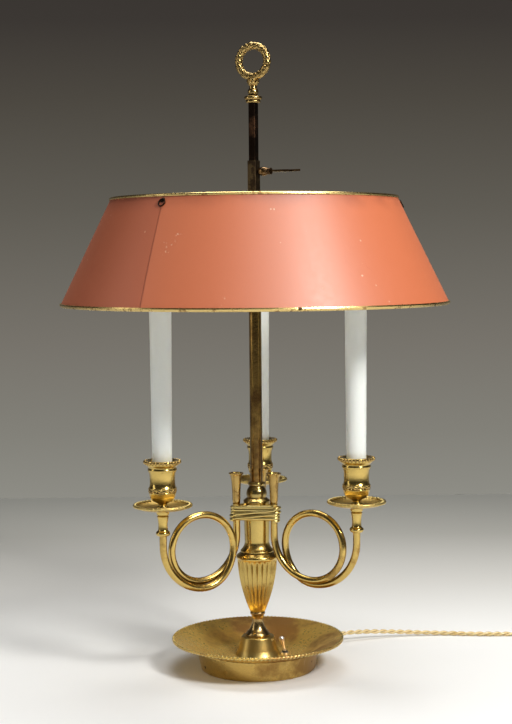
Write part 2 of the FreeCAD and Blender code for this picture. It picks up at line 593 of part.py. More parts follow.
def screw_frame(index):
    """The point on the outside of the sheet where a screw sits, and the direction out of it."""
    turn = math.radians(val("spider_turn") + 360 / int(val("spider_count")) * index)
    slope = math.atan(val(CONE_SLOPE))
    level = val("spider_level") + 2.6
    out = Vector(math.cos(turn) * math.cos(slope), math.sin(turn) * math.cos(slope), math.sin(slope))
    reach = spider_reach(level) + val("shade_sheet")
    return Vector(reach * math.cos(turn), reach * math.sin(turn), level), out


def screw_tools(gap):
    tools = []
    for index in range(int(val("spider_count"))):
        spot, out = screw_frame(index)
        tools.append(Part.makeCylinder(val("screw_radius") + gap, 12, spot - out * 6, out))
    return tools


def shade_screws():
    """The small round-headed screws that hold the sheet to the spider."""
    screws = []
    for index in range(int(val("spider_count"))):
        spot, out = screw_frame(index)
        head = Part.makeSphere(val("screw_head_radius"), Vector(0, 0, 0))
        low = Part.makeBox(20, 20, 20, Vector(-10, -10, -20 + val("screw_head_radius") - val("screw_head_height")))
        head = head.cut(low)
        head.translate(Vector(0, 0, val("screw_head_height") - val("screw_head_radius") + 0.05))
        shank = Part.makeCylinder(val("screw_radius"), 4.2, Vector(0, 0, -4.0))
        screw = head.fuse(shank).removeSplitter()
        screw.Placement = Placement(spot, Rotation(Vector(0, 0, 1), out))
        screws.append(screw)
    return Part.makeCompound(screws)


screw_holes = doc.addObject("Part::Feature", "screw_holes")
screw_holes.Shape = Part.makeCompound(screw_tools(0.06))
cone = doc.addObject("Part::Cut", "shade_cone")
cone.Base = cone_sheet
cone.Tool = screw_holes
keep(cone, "shade_cone")
shaped("shade_spider", spider())
shaped("shade_screws", shade_screws())


# Horn arms, one tube each, wound once round on itself
def arm_axes(turn):
    angle = math.radians(val(turn))
    return Vector(math.cos(angle), math.sin(angle), 0), Vector(-math.sin(angle), math.cos(angle), 0)


def corner_arc(start, corner, end):
    """The arc that leaves start towards corner and arrives at end from it."""
    middle = (start + end) * 0.5
    leg, half, rise = (corner - start).Length, (end - start).Length / 2, (corner - middle).Length
    if rise < 1e-6:
        return Part.makeLine(start, end)
    radius = leg * half / rise
    sag = radius - math.sqrt(max(radius * radius - half * half, 0))
    return Part.Arc(start, middle + (corner - middle) * (sag / rise), end).toShape()


def biarc(start, start_way, end, end_way):
    """Two arcs that join two points with given directions."""
    span = end - start
    both = start_way + end_way
    square_term = 2 * (start_way.dot(end_way) - 1)
    linear_term = span.dot(both)
    if abs(square_term) < 1e-9:
        leg = span.dot(span) / (2 * linear_term)
    else:
        root = math.sqrt(linear_term ** 2 - square_term * span.dot(span))
        leg = (linear_term - root) / square_term
        if leg < 0:
            leg = (linear_term + root) / square_term
    first, second = start + start_way * leg, end - end_way * leg
    middle = (first + second) * 0.5
    return [corner_arc(start, first, middle), corner_arc(middle, second, end)]


def sweep(path_edges, radius, start, way):
    """A round rod along a path of joined edges."""
    spine = Part.Wire(path_edges)
    ring = Part.Wire(Part.makeCircle(radius, start, way))
    return spine.makePipeShell([ring], True, False)


def horn(turn):
    """One arm: down from the bell, out and once round the loop, then up to the ferrule."""
    out, side = arm_axes(turn)
    shift = (val(ARM_SHIFT_END) - val(ARM_SHIFT_START)) / 5

    def spot(reach, level, quarter):
        return out * reach + side * (val(ARM_SHIFT_START) + shift * quarter) + Vector(0, 0, level)

    centre, level, loop = val("loop_centre"), val("loop_level"), val("loop_radius")
    slide = side * (shift * 2 / math.pi / loop)
    down, up = Vector(0, 0, -1), Vector(0, 0, 1)
    stops = [
        (spot(val("horn_start"), val("horn_bend_level"), 0), down),
        (spot(centre, level - loop, 1), (out + slide).normalize()),
        (spot(centre + loop, level, 2), (up + slide).normalize()),
        (spot(centre, level + loop, 3), (slide - out).normalize()),
        (spot(centre - loop, level, 4), (down + slide).normalize()),
        (spot(centre, level - loop - val("last_drop"), 5 - 0.2), (out + slide).normalize()),
        (spot(val("arm_reach"), val("arm_bend_level"), 5), up),
    ]
    top = spot(val("horn_start"), val("horn_top") - val("bell_height"), 0)
    path = [Part.makeLine(top, stops[0][0])]
    for (start, start_way), (end, end_way) in zip(stops, stops[1:]):
        path.extend(biarc(start, start_way, end, end_way))
    path.append(Part.makeLine(stops[-1][0], spot(val("arm_reach"), val("arm_top") + 6, 5)))
    tube = sweep(path, val("horn_radius"), top, down)
    radius, mouth, tall = val("horn_radius"), val("bell_radius"), val("bell_height")
    outline = [
        Part.makeLine(Vector(0, 0, -0.5), Vector(radius, 0, -0.5)),
        Part.makeLine(Vector(radius, 0, -0.5), Vector(radius, 0, 0)),
        Part.Arc(Vector(radius, 0, 0), Vector(radius + (mouth - radius) * 0.3, 0, tall * 0.62),
                 Vector(mouth, 0, tall)).toShape(),
        Part.makeLine(Vector(mouth, 0, tall), Vector(mouth - 1, 0, tall)),
        Part.makeLine(Vector(mouth - 1, 0, tall), Vector(radius - 0.9, 0, tall * 0.35)),
        Part.makeLine(Vector(radius - 0.9, 0, tall * 0.35), Vector(0, 0, tall * 0.2)),
        Part.makeLine(Vector(0, 0, tall * 0.2), Vector(0, 0, -0.5)),
    ]
    bell = Part.Face(Part.Wire(outline)).revolve(Vector(0, 0, 0), Vector(0, 0, 1), 360)
    bell.translate(top)
    return tube.fuse(bell).removeSplitter()


def horn_spot(turn):
    out, side = arm_axes(turn)
    return out * val("horn_start") + side * val(ARM_SHIFT_START)


def band_path(offset, level):
    """The closed line round the three horns at an offset from their middles."""
    spots = [horn_spot(turn) for turn in ARM_TURNS]
    edges = []
    for index in range(3):
        here, following, before = spots[index], spots[(index + 1) % 3], spots[index - 1]
        out_way = (following - here).normalize()
        in_way = (here - before).normalize()
        out_normal = Vector(out_way.y, -out_way.x, 0) * offset
        in_normal = Vector(in_way.y, -in_way.x, 0) * offset
        middle = (out_normal + in_normal).normalize() * offset
        lift = Vector(0, 0, level)
        edges.append(Part.Arc(here + in_normal + lift, here + middle + lift, here + out_normal + lift).toShape())
        edges.append(Part.makeLine(here + out_normal + lift, following + out_normal + lift))
    return edges


def ribbon_band():
    """Wound strands round a filler that is bored for the horns and the vase neck."""
    foot, tall, count = val("band_bottom"), val("band_height"), int(val("band_strands"))
    strand = tall / count / 2
    core = Part.Face(Part.Wire(band_path(val("horn_radius") + val("band_wall") - strand * 0.6, foot + 0.6)))
    solid = core.extrude(Vector(0, 0, tall - 1.2))
    for index in range(count):
        level = foot + strand * (2 * index + 1)
        path = Part.Wire(band_path(val("horn_radius") + val("band_wall") - strand * 0.6, level))
        start = path.Edges[1].Vertexes[0].Point
        way = path.Edges[1].tangentAt(path.Edges[1].FirstParameter)
        ordered = [path.Edges[(1 + step) % len(path.Edges)] for step in range(len(path.Edges))]
        ring = Part.Wire(Part.makeCircle(strand * 1.04, start, way))
        solid = solid.fuse(Part.Wire(ordered).makePipeShell([ring], True, False))
    neck = Part.makeCylinder(val("neck_radius") + val("band_fit"), tall + 8, Vector(0, 0, foot - 4))
    solid = solid.cut(neck)
    for turn in ARM_TURNS:
        hole = Part.makeCylinder(val("horn_radius") + val("band_fit"), tall + 8,
                                 horn_spot(turn) + Vector(0, 0, foot - 4))
        solid = solid.cut(hole)
    return solid.removeSplitter()


shaped("ribbon_band", ribbon_band())

for number, turn in enumerate(ARM_TURNS, start=1):
    across, depth = arm_place(turn)
    shaped(f"horn_{number}", horn(turn))
    ferrule = turned(f"ferrule_{number}", [
        ("horn_radius + stem_fit", "arm_top"),
        ("collar_radius - 1.2", "arm_top"),
        ("collar_radius - 1.2", "arm_top + collar_height", "collar_height * 0.56"),
        ("ferrule_waist_radius", "arm_top + collar_height + 2.2", "-3.4"),
        ("ferrule_waist_radius + 1.2", "arm_top + ferrule_height * 0.72", "-ferrule_height * 1.1"),
        ("ferrule_waist_radius + 1.2 - ferrule_groove", "arm_top + ferrule_height * 0.76"),
        ("ferrule_waist_radius + 1.5", "arm_top + ferrule_height * 0.80"),
        ("ferrule_top_radius", f"{FERRULE_TOP} - 1.6", "-ferrule_height * 0.3"),
        ("ferrule_top_radius", FERRULE_TOP),
        ("0", FERRULE_TOP),
        ("0", "arm_top + 6"),
        ("horn_radius + stem_fit", "arm_top + 6"),
    ])
    pan = turned(f"drip_pan_{number}", [
        ("0", FERRULE_TOP),
        ("pan_flat_radius", FERRULE_TOP),
        ("pan_radius - pan_bead", f"{FERRULE_TOP} + pan_rise - 2 * pan_bead", "pan_radius * 0.9"),
        ("pan_radius - pan_bead", f"{FERRULE_TOP} + pan_rise", "pan_bead * 1.02"),
        ("pan_flat_radius - pan_wall * 0.5", CUP_FOOT, "-pan_radius * 0.9"),
        ("0", CUP_FOOT),
    ])
    cup = turned(f"candle_cup_{number}", [
        ("0", CUP_FOOT),
        ("cup_stem_radius + 2.2", CUP_FOOT),
        ("cup_stem_radius", f"{CUP_FOOT} + 3.4", "-3.6"),
        ("cup_base_radius", f"{CUP_FOOT} + 7.6", "-6"),
        ("cup_body_radius", f"{CUP_FOOT} + 17", "cup_body_radius * 0.86"),
        ("cup_waist_radius", f"{CUP_FOOT} + 24"),
        ("cup_body_radius", f"{CUP_FOOT} + cup_height - 12", "-cup_height"),
        ("cup_step_radius", f"{CUP_FOOT} + cup_height - 9.5"),
        ("cup_step_radius", f"{CUP_FOOT} + cup_height - 6", "2.2"),
        ("cup_rim_radius - 1", f"{CUP_TOP} - 2.8", "-9"),
        ("cup_rim_radius - 1", CUP_TOP, "1.5"),
        ("cup_bore_radius + 3", f"{CUP_TOP} - 1.4"),
        ("cup_bore_radius", f"{CUP_TOP} - 4"),
        ("cup_bore_radius", CANDLE_FOOT),
        ("0", CANDLE_FOOT),
    ])
    sleeve_tube = turned(f"candle_sleeve_{number}", [
        ("candle_foot_radius - candle_wall", CANDLE_FOOT),
        ("candle_foot_radius", CANDLE_FOOT),
        ("candle_top_radius", CANDLE_TOP),
        ("candle_top_radius - candle_wall", CANDLE_TOP),
    ])
    rod = turned(f"holder_rod_{number}", [
        ("0", CANDLE_FOOT),
        ("holder_rod_radius", CANDLE_FOOT),
        ("holder_rod_radius", HOLDER_FOOT),
        ("0", HOLDER_FOOT),
    ])
    holder = turned(f"lampholder_{number}", [
        ("0", HOLDER_FOOT),
        ("holder_radius - 1", HOLDER_FOOT),
        ("holder_radius", f"{HOLDER_FOOT} + 1"),
        ("holder_radius", HOLDER_TOP),
        ("bulb_cap_radius + holder_fit", HOLDER_TOP),
        ("bulb_cap_radius + holder_fit", f"{HOLDER_FOOT} + holder_floor"),
        ("0", f"{HOLDER_FOOT} + holder_floor"),
    ])
    bulb_cap = turned(f"bulb_cap_{number}", [
        ("0", BULB_CAP_FOOT),
        ("bulb_cap_radius - 3", BULB_CAP_FOOT),
        ("bulb_cap_radius", f"{BULB_CAP_FOOT} + 4"),
        ("bulb_cap_radius", BULB_CAP_TOP),
        ("0", BULB_CAP_TOP),
    ])
    bulb = turned(f"bulb_{number}", [
        ("bulb_cap_radius - bulb_glass", BULB_CAP_TOP, f"-({BULB_LOW_ARC} - bulb_glass)"),
        ("bulb_cap_radius", BULB_CAP_TOP),
        ("bulb_radius", f"{BULB_CAP_TOP} + {BULB_BELLY}", BULB_LOW_ARC),
        ("bulb_tip_radius", f"{BULB_CAP_TOP} + bulb_height", BULB_HIGH_ARC),
        ("0", f"{BULB_CAP_TOP} + bulb_height"),
        ("0", f"{BULB_CAP_TOP} + bulb_height - 2 * bulb_glass"),
        ("bulb_tip_radius", f"{BULB_CAP_TOP} + bulb_height - 2 * bulb_glass"),
        ("bulb_radius - bulb_glass", f"{BULB_CAP_TOP} + {BULB_BELLY}", f"-({BULB_HIGH_ARC} - bulb_glass)"),
    ])
    for piece in (ferrule, pan, cup, sleeve_tube, rod, holder, bulb_cap, bulb):
        place(piece, across, depth)

# Toggle switch in the dish floor
switch_at = Vector(val("switch_x"), val("switch_y"), 0)
PIVOT_LEVEL = f"({DISH_TOP} + bush_height - lever_pivot)"


def switch_body():
    wide, deep, tall = val("switch_width"), val("switch_depth"), val("switch_height")
    box = Part.makeBox(wide, deep, tall, switch_at + Vector(-wide / 2, -deep / 2, val(DISH_UNDER) - tall))
    bush = Part.makeCylinder(val("bush_radius"), val(f"dish_wall + bush_height"),
                             switch_at + Vector(0, 0, val(DISH_UNDER)))
    socket = Part.makeCylinder(val("lever_ball + lever_gap"), 30, switch_at + Vector(0, 0, val(PIVOT_LEVEL)))
    seat = Part.makeSphere(val("lever_ball + lever_gap"), switch_at + Vector(0, 0, val(PIVOT_LEVEL)))
    return box.fuse(bush).cut(socket).cut(seat).removeSplitter()


def switch_lever():
    ball = Part.makeSphere(val("lever_ball"), Vector(0, 0, 0))
    stick = Part.makeCone(val("lever_radius"), val("lever_tip_radius") * 0.7, val("lever_length"))
    tip = Part.makeSphere(val("lever_tip_radius"), Vector(0, 0, val("lever_length")))
    lever = ball.fuse(stick).fuse(tip).removeSplitter()
    lever.rotate(Vector(0, 0, 0), Vector(0, 1, 0), -val("lever_lean"))
    lever.translate(switch_at + Vector(0, 0, val(PIVOT_LEVEL)))
    return lever


shaped("switch_body", switch_body())
nut = turned("switch_nut", [
    ("bush_radius + stem_fit", DISH_TOP),
    ("switch_nut_radius", DISH_TOP),
    ("switch_nut_radius", f"{DISH_TOP} + switch_nut_height"),
    ("bush_radius + stem_fit", f"{DISH_TOP} + switch_nut_height"),
])
place(nut, "switch_x", "switch_y")
shaped("switch_lever", switch_lever())
dish = [node for node in nodes if node.Label == "dish"][0]
hole_sketch = new_sketch(dish, "XY_Plane", "switch_hole_outline")
hole = hole_sketch.addGeometry(Part.Circle(switch_at, Vector(0, 0, 1), val("bush_radius + stem_fit")))
bind(hole_sketch, Sketcher.Constraint("DistanceX", -1, 1, hole, 3, val("switch_x")), "switch_x")
bind(hole_sketch, Sketcher.Constraint("DistanceY", -1, 1, hole, 3, val("switch_y")), "switch_y")
bind(hole_sketch, Sketcher.Constraint("Radius", hole, 3.05), "bush_radius + stem_fit")
hole_cut = dish.newObject("PartDesign::Pocket", "switch_hole")
hole_cut.Profile = hole_sketch
hole_cut.Type = "Length"
hole_cut.setExpression("Length", bound("foot_height + dish_depth"))
hole_cut.Reversed = True

# Cord: bush, free stretch, coil and plug
exit_way = Vector(math.cos(math.radians(val("exit_turn"))), math.sin(math.radians(val("exit_turn"))), 0)
bush_start = val("foot_radius") - val("foot_wall") - 1.5
bush_end = val("foot_radius") + val("cord_bush_length")


def cord_bush():
    tip, body_radius, bore = val("cord_bush_tip"), val("cord_bush_radius"), val("cord_radius")
    face_out = val("foot_radius + foot_flare * (exit_level + cord_bush_radius) / foot_height") + 0.3
    outline = [
        Vector(bush_start, 0, 0), Vector(bush_start, 0, tip - 0.1), Vector(face_out, 0, tip - 0.1),
        Vector(face_out, 0, body_radius), Vector(face_out + 4, 0, body_radius), Vector(bush_end, 0, bore + 0.6),
        Vector(bush_end, 0, 0),
    ]
    solid = Part.Face(Part.makePolygon(outline + outline[:1])).revolve(Vector(0, 0, 0), Vector(1, 0, 0), 360)
    solid.rotate(Vector(0, 0, 0), Vector(0, 0, 1), val("exit_turn"))
    solid.translate(Vector(0, 0, val("exit_level")))
    return solid


shaped("cord_bush", cord_bush())

cord_lie = val("cord_radius")
cord_exit = exit_way * bush_end + Vector(0, 0, val("exit_level"))
coil_start = Vector(val("coil_x"), val("coil_y") + val("coil_outer"), cord_lie)
CORD_ROUTE = [
    cord_exit,
    exit_way * (bush_end + 22) + Vector(0, 0, val("exit_level")),
    Vector(98.0, 106.0, 10.6),
    Vector(137.0, 120.5, 8.6),
    Vector(179.0, 130.5, 4.6),
    Vector(222.0, 131.8, cord_lie),
    Vector(264.0, 125.4, cord_lie),
    Vector(309.0, 125.2, cord_lie),
    Vector(350.0, coil_start.y, cord_lie),
    coil_start - Vector(8, 0, 0),
]


def cord_free():
    """A plain tube of straight runs joined by arcs as large as the runs allow."""
    edges = []
    here = CORD_ROUTE[0]
    radii = []
    for before, corner, after in zip(CORD_ROUTE, CORD_ROUTE[1:], CORD_ROUTE[2:]):
        in_run, out_run = corner - before, after - corner
        turn = in_run.getAngle(out_run)
        reach = 0.45 * min(in_run.Length, out_run.Length)
        radii.append(reach / math.tan(turn / 2))
        arc_start = corner - in_run.normalize() * reach
        arc_end = corner + out_run.normalize() * reach
        edges.append(Part.makeLine(here, arc_start))
        edges.append(corner_arc(arc_start, corner, arc_end))
        here = arc_end
    edges.append(Part.makeLine(here, CORD_ROUTE[-1]))
    tube = sweep(edges, val("cord_radius"), CORD_ROUTE[0], CORD_ROUTE[1] - CORD_ROUTE[0])
    length = sum(edge.Length for edge in edges)
    print("cord radii", [round(radius, 1) for radius in radii])
    print("free length", round(length, 1), "volume share",
          round(tube.Volume / (math.pi * val("cord_radius") ** 2 * length), 4))
    return tube, length


free_tube, free_length = cord_free()
shaped("cord_free", free_tube)


def coil_line():
    """Stops along the wound cord: in on the floor, out again one layer up."""
    turns, inner, outer = val("coil_turns"), val("coil_inner"), val("coil_outer")
    pitch = (outer - inner) / turns
    stops = []
    for step in range(int(turns * 4) + 1):
        reach = outer - pitch * step / 4
        stops.append((step, reach, 0.0))
    last = len(stops) - 1
    for step in range(1, int(turns * 4) + 3):
        lift = min(step / 2, 1.0)
        reach = inner + pitch * (abs(step - 2) if step > 1 else -1) / 4
        stops.append((last + step, min(reach, outer), lift))
    return stops


def cord_coil():
    """The put-away length of the cord as one unbroken tube."""
    middle = Vector(val("coil_x"), val("coil_y"), cord_lie)
    spots = []
    for step, reach, lift in coil_line():
        angle = math.pi / 2 - math.pi / 2 * step
        spots.append(middle + Vector(reach * math.cos(angle), reach * math.sin(angle), lift * val("coil_lift")))
    ways = []
    for index, (step, _, _) in enumerate(coil_line()):
        angle = -math.pi / 2 * step
        flat = Vector(math.cos(angle), math.sin(angle), 0)
        if 0 < index < len(spots) - 1:
            chord = spots[index + 1] - spots[index - 1]
            inward = Vector(flat.y, -flat.x, 0)
            flat = flat * chord.dot(flat) + inward * chord.dot(inward) + Vector(0, 0, chord.z * 0.9)
        ways.append(flat.normalize())
    start = spots[0] - ways[0] * 8
    end = spots[-1] + ways[-1] * val("tail_length")
    path = [Part.makeLine(start, spots[0])]
    for index in range(len(spots) - 1):
        path.extend(biarc(spots[index], ways[index], spots[index + 1], ways[index + 1]))
    path.append(Part.makeLine(spots[-1], end))
    tube = sweep(path, val("cord_radius"), start, ways[0])
    samples = []
    for edge in path:
        samples.extend(edge.discretize(Number=max(int(edge.Length / 1.5), 3))[:-1])
    run, walked = [0.0], 0.0
    for first, second in zip(samples, samples[1:]):
        walked += (second - first).Length
        run.append(walked)
    near = 1e9
    for index, point in enumerate(samples):
        for other in range(index + 1, len(samples)):
            if run[other] - run[index] > 12 * val("cord_radius"):
                near = min(near, (samples[other] - point).Length)
    print("coil length", round(walked, 1), "least gap", round(near - 2 * val("cord_radius"), 2))
    return tube, end, ways[-1]


coil_tube, coil_end, coil_way = cord_coil()
shaped("cord_coil", coil_tube)


def plug_body():
    """A flat two-pin plug, wider and rounder at its nose than at the cord."""
    length, wide = val("plug_length"), val("plug_width")
    back, thick = val("plug_back"), val("plug_thickness")
    corners = [
        Vector(0, -back / 2, 0), Vector(length * 0.55, -wide / 2, 0), Vector(length, -wide / 2, 0),
        Vector(length, wide / 2, 0), Vector(length * 0.55, wide / 2, 0), Vector(0, back / 2, 0),
    ]
    slab = Part.Face(Part.makePolygon(corners + corners[:1])).extrude(Vector(0, 0, thick))
    return slab.makeFillet(2.0, slab.Edges)


def plug_pins():
    pins = []
    for side in (-0.5, 0.5):
        start = Vector(val("plug_length"), side * val("pin_spacing"), val("plug_thickness") / 2)
        pin = Part.makeCylinder(val("pin_radius"), val("pin_length") - val("pin_radius"), start, Vector(1, 0, 0))
        end = Part.makeSphere(val("pin_radius"), start + Vector(val("pin_length") - val("pin_radius"), 0, 0))
        pins.append(pin.fuse(end).removeSplitter())
    return Part.makeCompound(pins)


plug_turn = math.degrees(math.atan2(coil_way.y, coil_way.x))
plug_drop = coil_end.z - val("plug_thickness") / 2
for name, shape in (("plug_body", plug_body()), ("plug_pins", plug_pins())):
    plug = shaped(name, shape)
    plug.Placement = Placement(Vector(coil_end.x, coil_end.y, plug_drop), Rotation(Vector(0, 0, 1), plug_turn))

# Build, check and write every sub-part
doc.recompute()
faults = []
for thing in doc.Objects:
    if "Invalid" in thing.State or "Error" in thing.State:
        faults.append(f"{thing.Name}: {thing.State}")
for node in nodes:
    shape = node.Shape
    if shape.isNull() or not shape.isValid() or not shape.Solids:
        faults.append(f"{node.Label}: no valid solid")
if faults:
    raise RuntimeError("; ".join(faults))
for node in nodes:
    node.Shape.exportStep(f"parts/{node.Label}.step")
print("wrote", len(nodes), "sub-parts")
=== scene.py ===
# Bouillotte lamp: three horn arms with candle lights, a red painted shade on a square bar.
# Metres, in the part's own frame: +Z up, origin at the centre of the foot on the floor.
import math
import bmesh
import bpy
from mathutils import Matrix, Vector


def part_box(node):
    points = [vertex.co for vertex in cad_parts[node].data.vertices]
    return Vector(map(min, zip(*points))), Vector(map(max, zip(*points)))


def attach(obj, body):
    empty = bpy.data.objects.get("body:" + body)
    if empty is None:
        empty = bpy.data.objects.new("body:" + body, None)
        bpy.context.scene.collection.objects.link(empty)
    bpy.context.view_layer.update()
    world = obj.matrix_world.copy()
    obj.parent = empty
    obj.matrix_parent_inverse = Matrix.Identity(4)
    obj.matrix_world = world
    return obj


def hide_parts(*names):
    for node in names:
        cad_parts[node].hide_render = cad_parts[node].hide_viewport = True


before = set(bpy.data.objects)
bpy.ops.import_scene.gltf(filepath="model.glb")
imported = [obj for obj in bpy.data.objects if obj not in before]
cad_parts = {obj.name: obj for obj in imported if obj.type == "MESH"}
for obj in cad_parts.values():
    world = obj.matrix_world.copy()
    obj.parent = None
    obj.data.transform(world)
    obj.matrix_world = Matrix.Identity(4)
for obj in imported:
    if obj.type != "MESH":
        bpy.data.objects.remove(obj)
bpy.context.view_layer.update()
scene = bpy.context.scene
scene.view_settings.view_transform = "Standard"

MM = 0.001

# Camera, at the height of the candles and tipped a little down.
camera = bpy.data.objects.new("camera", bpy.data.cameras.new("camera"))
camera.data.lens = 76.41
CAMERA_AT = (0.0006, -1.668, 0.4528)
CAMERA_TIP = 86.02
CAMERA_ROLL = -0.5
camera.matrix_world = (Matrix.Translation(CAMERA_AT) @ Matrix.Rotation(math.radians(CAMERA_TIP), 4, "X")
                       @ Matrix.Rotation(math.radians(CAMERA_ROLL), 4, "Z"))
scene.collection.objects.link(camera)
scene.camera = camera


# Helpers for pieces

def turn_about(degrees):
    """A turn about the upright axis."""
    return Matrix.Rotation(math.radians(degrees), 4, "Z")


def finish_piece(name, mesh, body, material, stands_for=()):
    """Put a finished mesh in the scene on its body, with its finish."""
    mesh.name = name
    for face in mesh.polygons:
        face.use_smooth = True
    mesh.materials.clear()
    mesh.materials.append(material)
    piece = bpy.data.objects.new(name, mesh)
    scene.collection.objects.link(piece)
    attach(piece, body)
    if stands_for:
        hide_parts(*stands_for)
    return piece


def cast(name, bm, body, material, stands_for=()):
    """Turn a worked bmesh into a finished piece."""
    bmesh.ops.recalc_face_normals(bm, faces=bm.faces)
    mesh = bpy.data.meshes.new(name)
    bm.to_mesh(mesh)
    bm.free()
    return finish_piece(name, mesh, body, material, stands_for)


def wire_mesh(name, lines, radius, closed=False, sides=2):
    """Round wire along one or more lines of points."""
    curve = bpy.data.curves.new(name, "CURVE")
    curve.dimensions = "3D"
    curve.bevel_depth = radius
    curve.bevel_resolution = sides
    curve.use_fill_caps = True
    for line in lines:
        spline = curve.splines.new("POLY")
        spline.points.add(len(line) - 1)
        for spot, point in zip(spline.points, line):
            spot.co = (*point, 1)
        spline.use_cyclic_u = closed
    holder = bpy.data.objects.new(name, curve)
    mesh = bpy.data.meshes.new_from_object(holder)
    bpy.data.objects.remove(holder)
    return mesh


def bead(bm, place, size, round_steps=8, long_steps=6):
    """An egg-shaped bead of three half-sizes."""
    bmesh.ops.create_uvsphere(bm, u_segments=round_steps, v_segments=long_steps, radius=1,
                              matrix=place @ Matrix.Diagonal((*size, 1)))


def lathe(outline, centre=(0, 0, 0), steps=96):
    """A turned form from an outline of radius and height in millimetres, closed on its axis."""
    bm = bmesh.new()
    middle = Vector(centre)
    verts = [bm.verts.new(middle + Vector((out, 0, up)) * MM) for out, up in outline]
    edges = [bm.edges.new(pair) for pair in zip(verts, verts[1:])]
    bmesh.ops.spin(bm, geom=verts + edges, cent=middle, axis=(0, 0, 1), angle=2 * math.pi, steps=steps,
                   use_merge=True)
    bmesh.ops.remove_doubles(bm, verts=bm.verts, dist=1e-6)
    return bm


def join(bm, form, place=None):
    """Join a second worked form to a bmesh, moved to its place."""
    mesh = bpy.data.meshes.new("form")
    form.to_mesh(mesh)
    form.free()
    if place is not None:
        mesh.transform(place)
    bm.from_mesh(mesh)
    bpy.data.meshes.remove(mesh)


def leaf_form():
    """One small cast leaf, a unit long along +X, pointed at its tip, with a raised rib."""
    bm = bmesh.new()
    bmesh.ops.create_uvsphere(bm, u_segments=10, v_segments=7, radius=1,
                              matrix=Matrix.Rotation(math.radians(90), 4, "Y"))
    for vert in bm.verts:
        along = (vert.co.x + 1) / 2
        vert.co.y *= 1.15 * (1 - along ** 2.2) + 0.08
        vert.co.z = vert.co.z * (1 - 0.5 * along) + 0.35 * (1 - min(abs(vert.co.y) * 2.2, 1)) * (1 - along)
    mesh = bpy.data.meshes.new("leaf_form")
    bm.to_mesh(mesh)
    bm.free()
    return mesh


def add_leaf(bm, leaf, place, size):
    """Join a copy of the leaf to a bmesh."""
    placed = leaf.copy()
    placed.transform(place @ Matrix.Diagonal((*size, 1)))
    bm.from_mesh(placed)
    bpy.data.meshes.remove(placed)


# Helpers for finishes

def node(tree, kind, sockets=None, **settings):
    """One shader node. A socket given to an input is linked and any other value is set."""
    made = tree.nodes.new(kind)
    for name, value in settings.items():
        setattr(made, name, value)
    for key, value in (sockets or {}).items():
        if isinstance(value, bpy.types.NodeSocket):
            tree.links.new(value, made.inputs[key])
        else:
            made.inputs[key].default_value = value
    return made


def maths(tree, kind, *values):
    """A Math node's result."""
    return node(tree, "ShaderNodeMath", dict(enumerate(values)), operation=kind).outputs[0]


def blend(tree, share, low, high, kind="MIX"):
    """The mix of two colours."""
    return node(tree, "ShaderNodeMix", {0: share, 6: low, 7: high}, data_type="RGBA",
                blend_type=kind).outputs[2]


def span(tree, value, low, high, start=0.0, end=1.0):
    """A value stretched smoothly from one range to another."""
    return node(tree, "ShaderNodeMapRange", {0: value, 1: low, 2: high, 3: start, 4: end},
                interpolation_type="SMOOTHSTEP").outputs[0]


def effect(name, inputs, outputs):
    """An empty node group, with its inputs' sockets and its outputs' sockets."""
    tree = bpy.data.node_groups.new(name, "ShaderNodeTree")
    for label, kind, value in inputs:
        socket = tree.interface.new_socket(name=label, in_out="INPUT", socket_type="NodeSocket" + kind)
        socket.default_value = value
    for label, kind in outputs:
        tree.interface.new_socket(name=label, in_out="OUTPUT", socket_type="NodeSocket" + kind)
    return tree, tree.nodes.new("NodeGroupInput").outputs, tree.nodes.new("NodeGroupOutput").inputs


def place_of(tree):
    """Where a point lies on the piece, in metres."""
    return tree.nodes.new("ShaderNodeTexCoord").outputs["Object"]


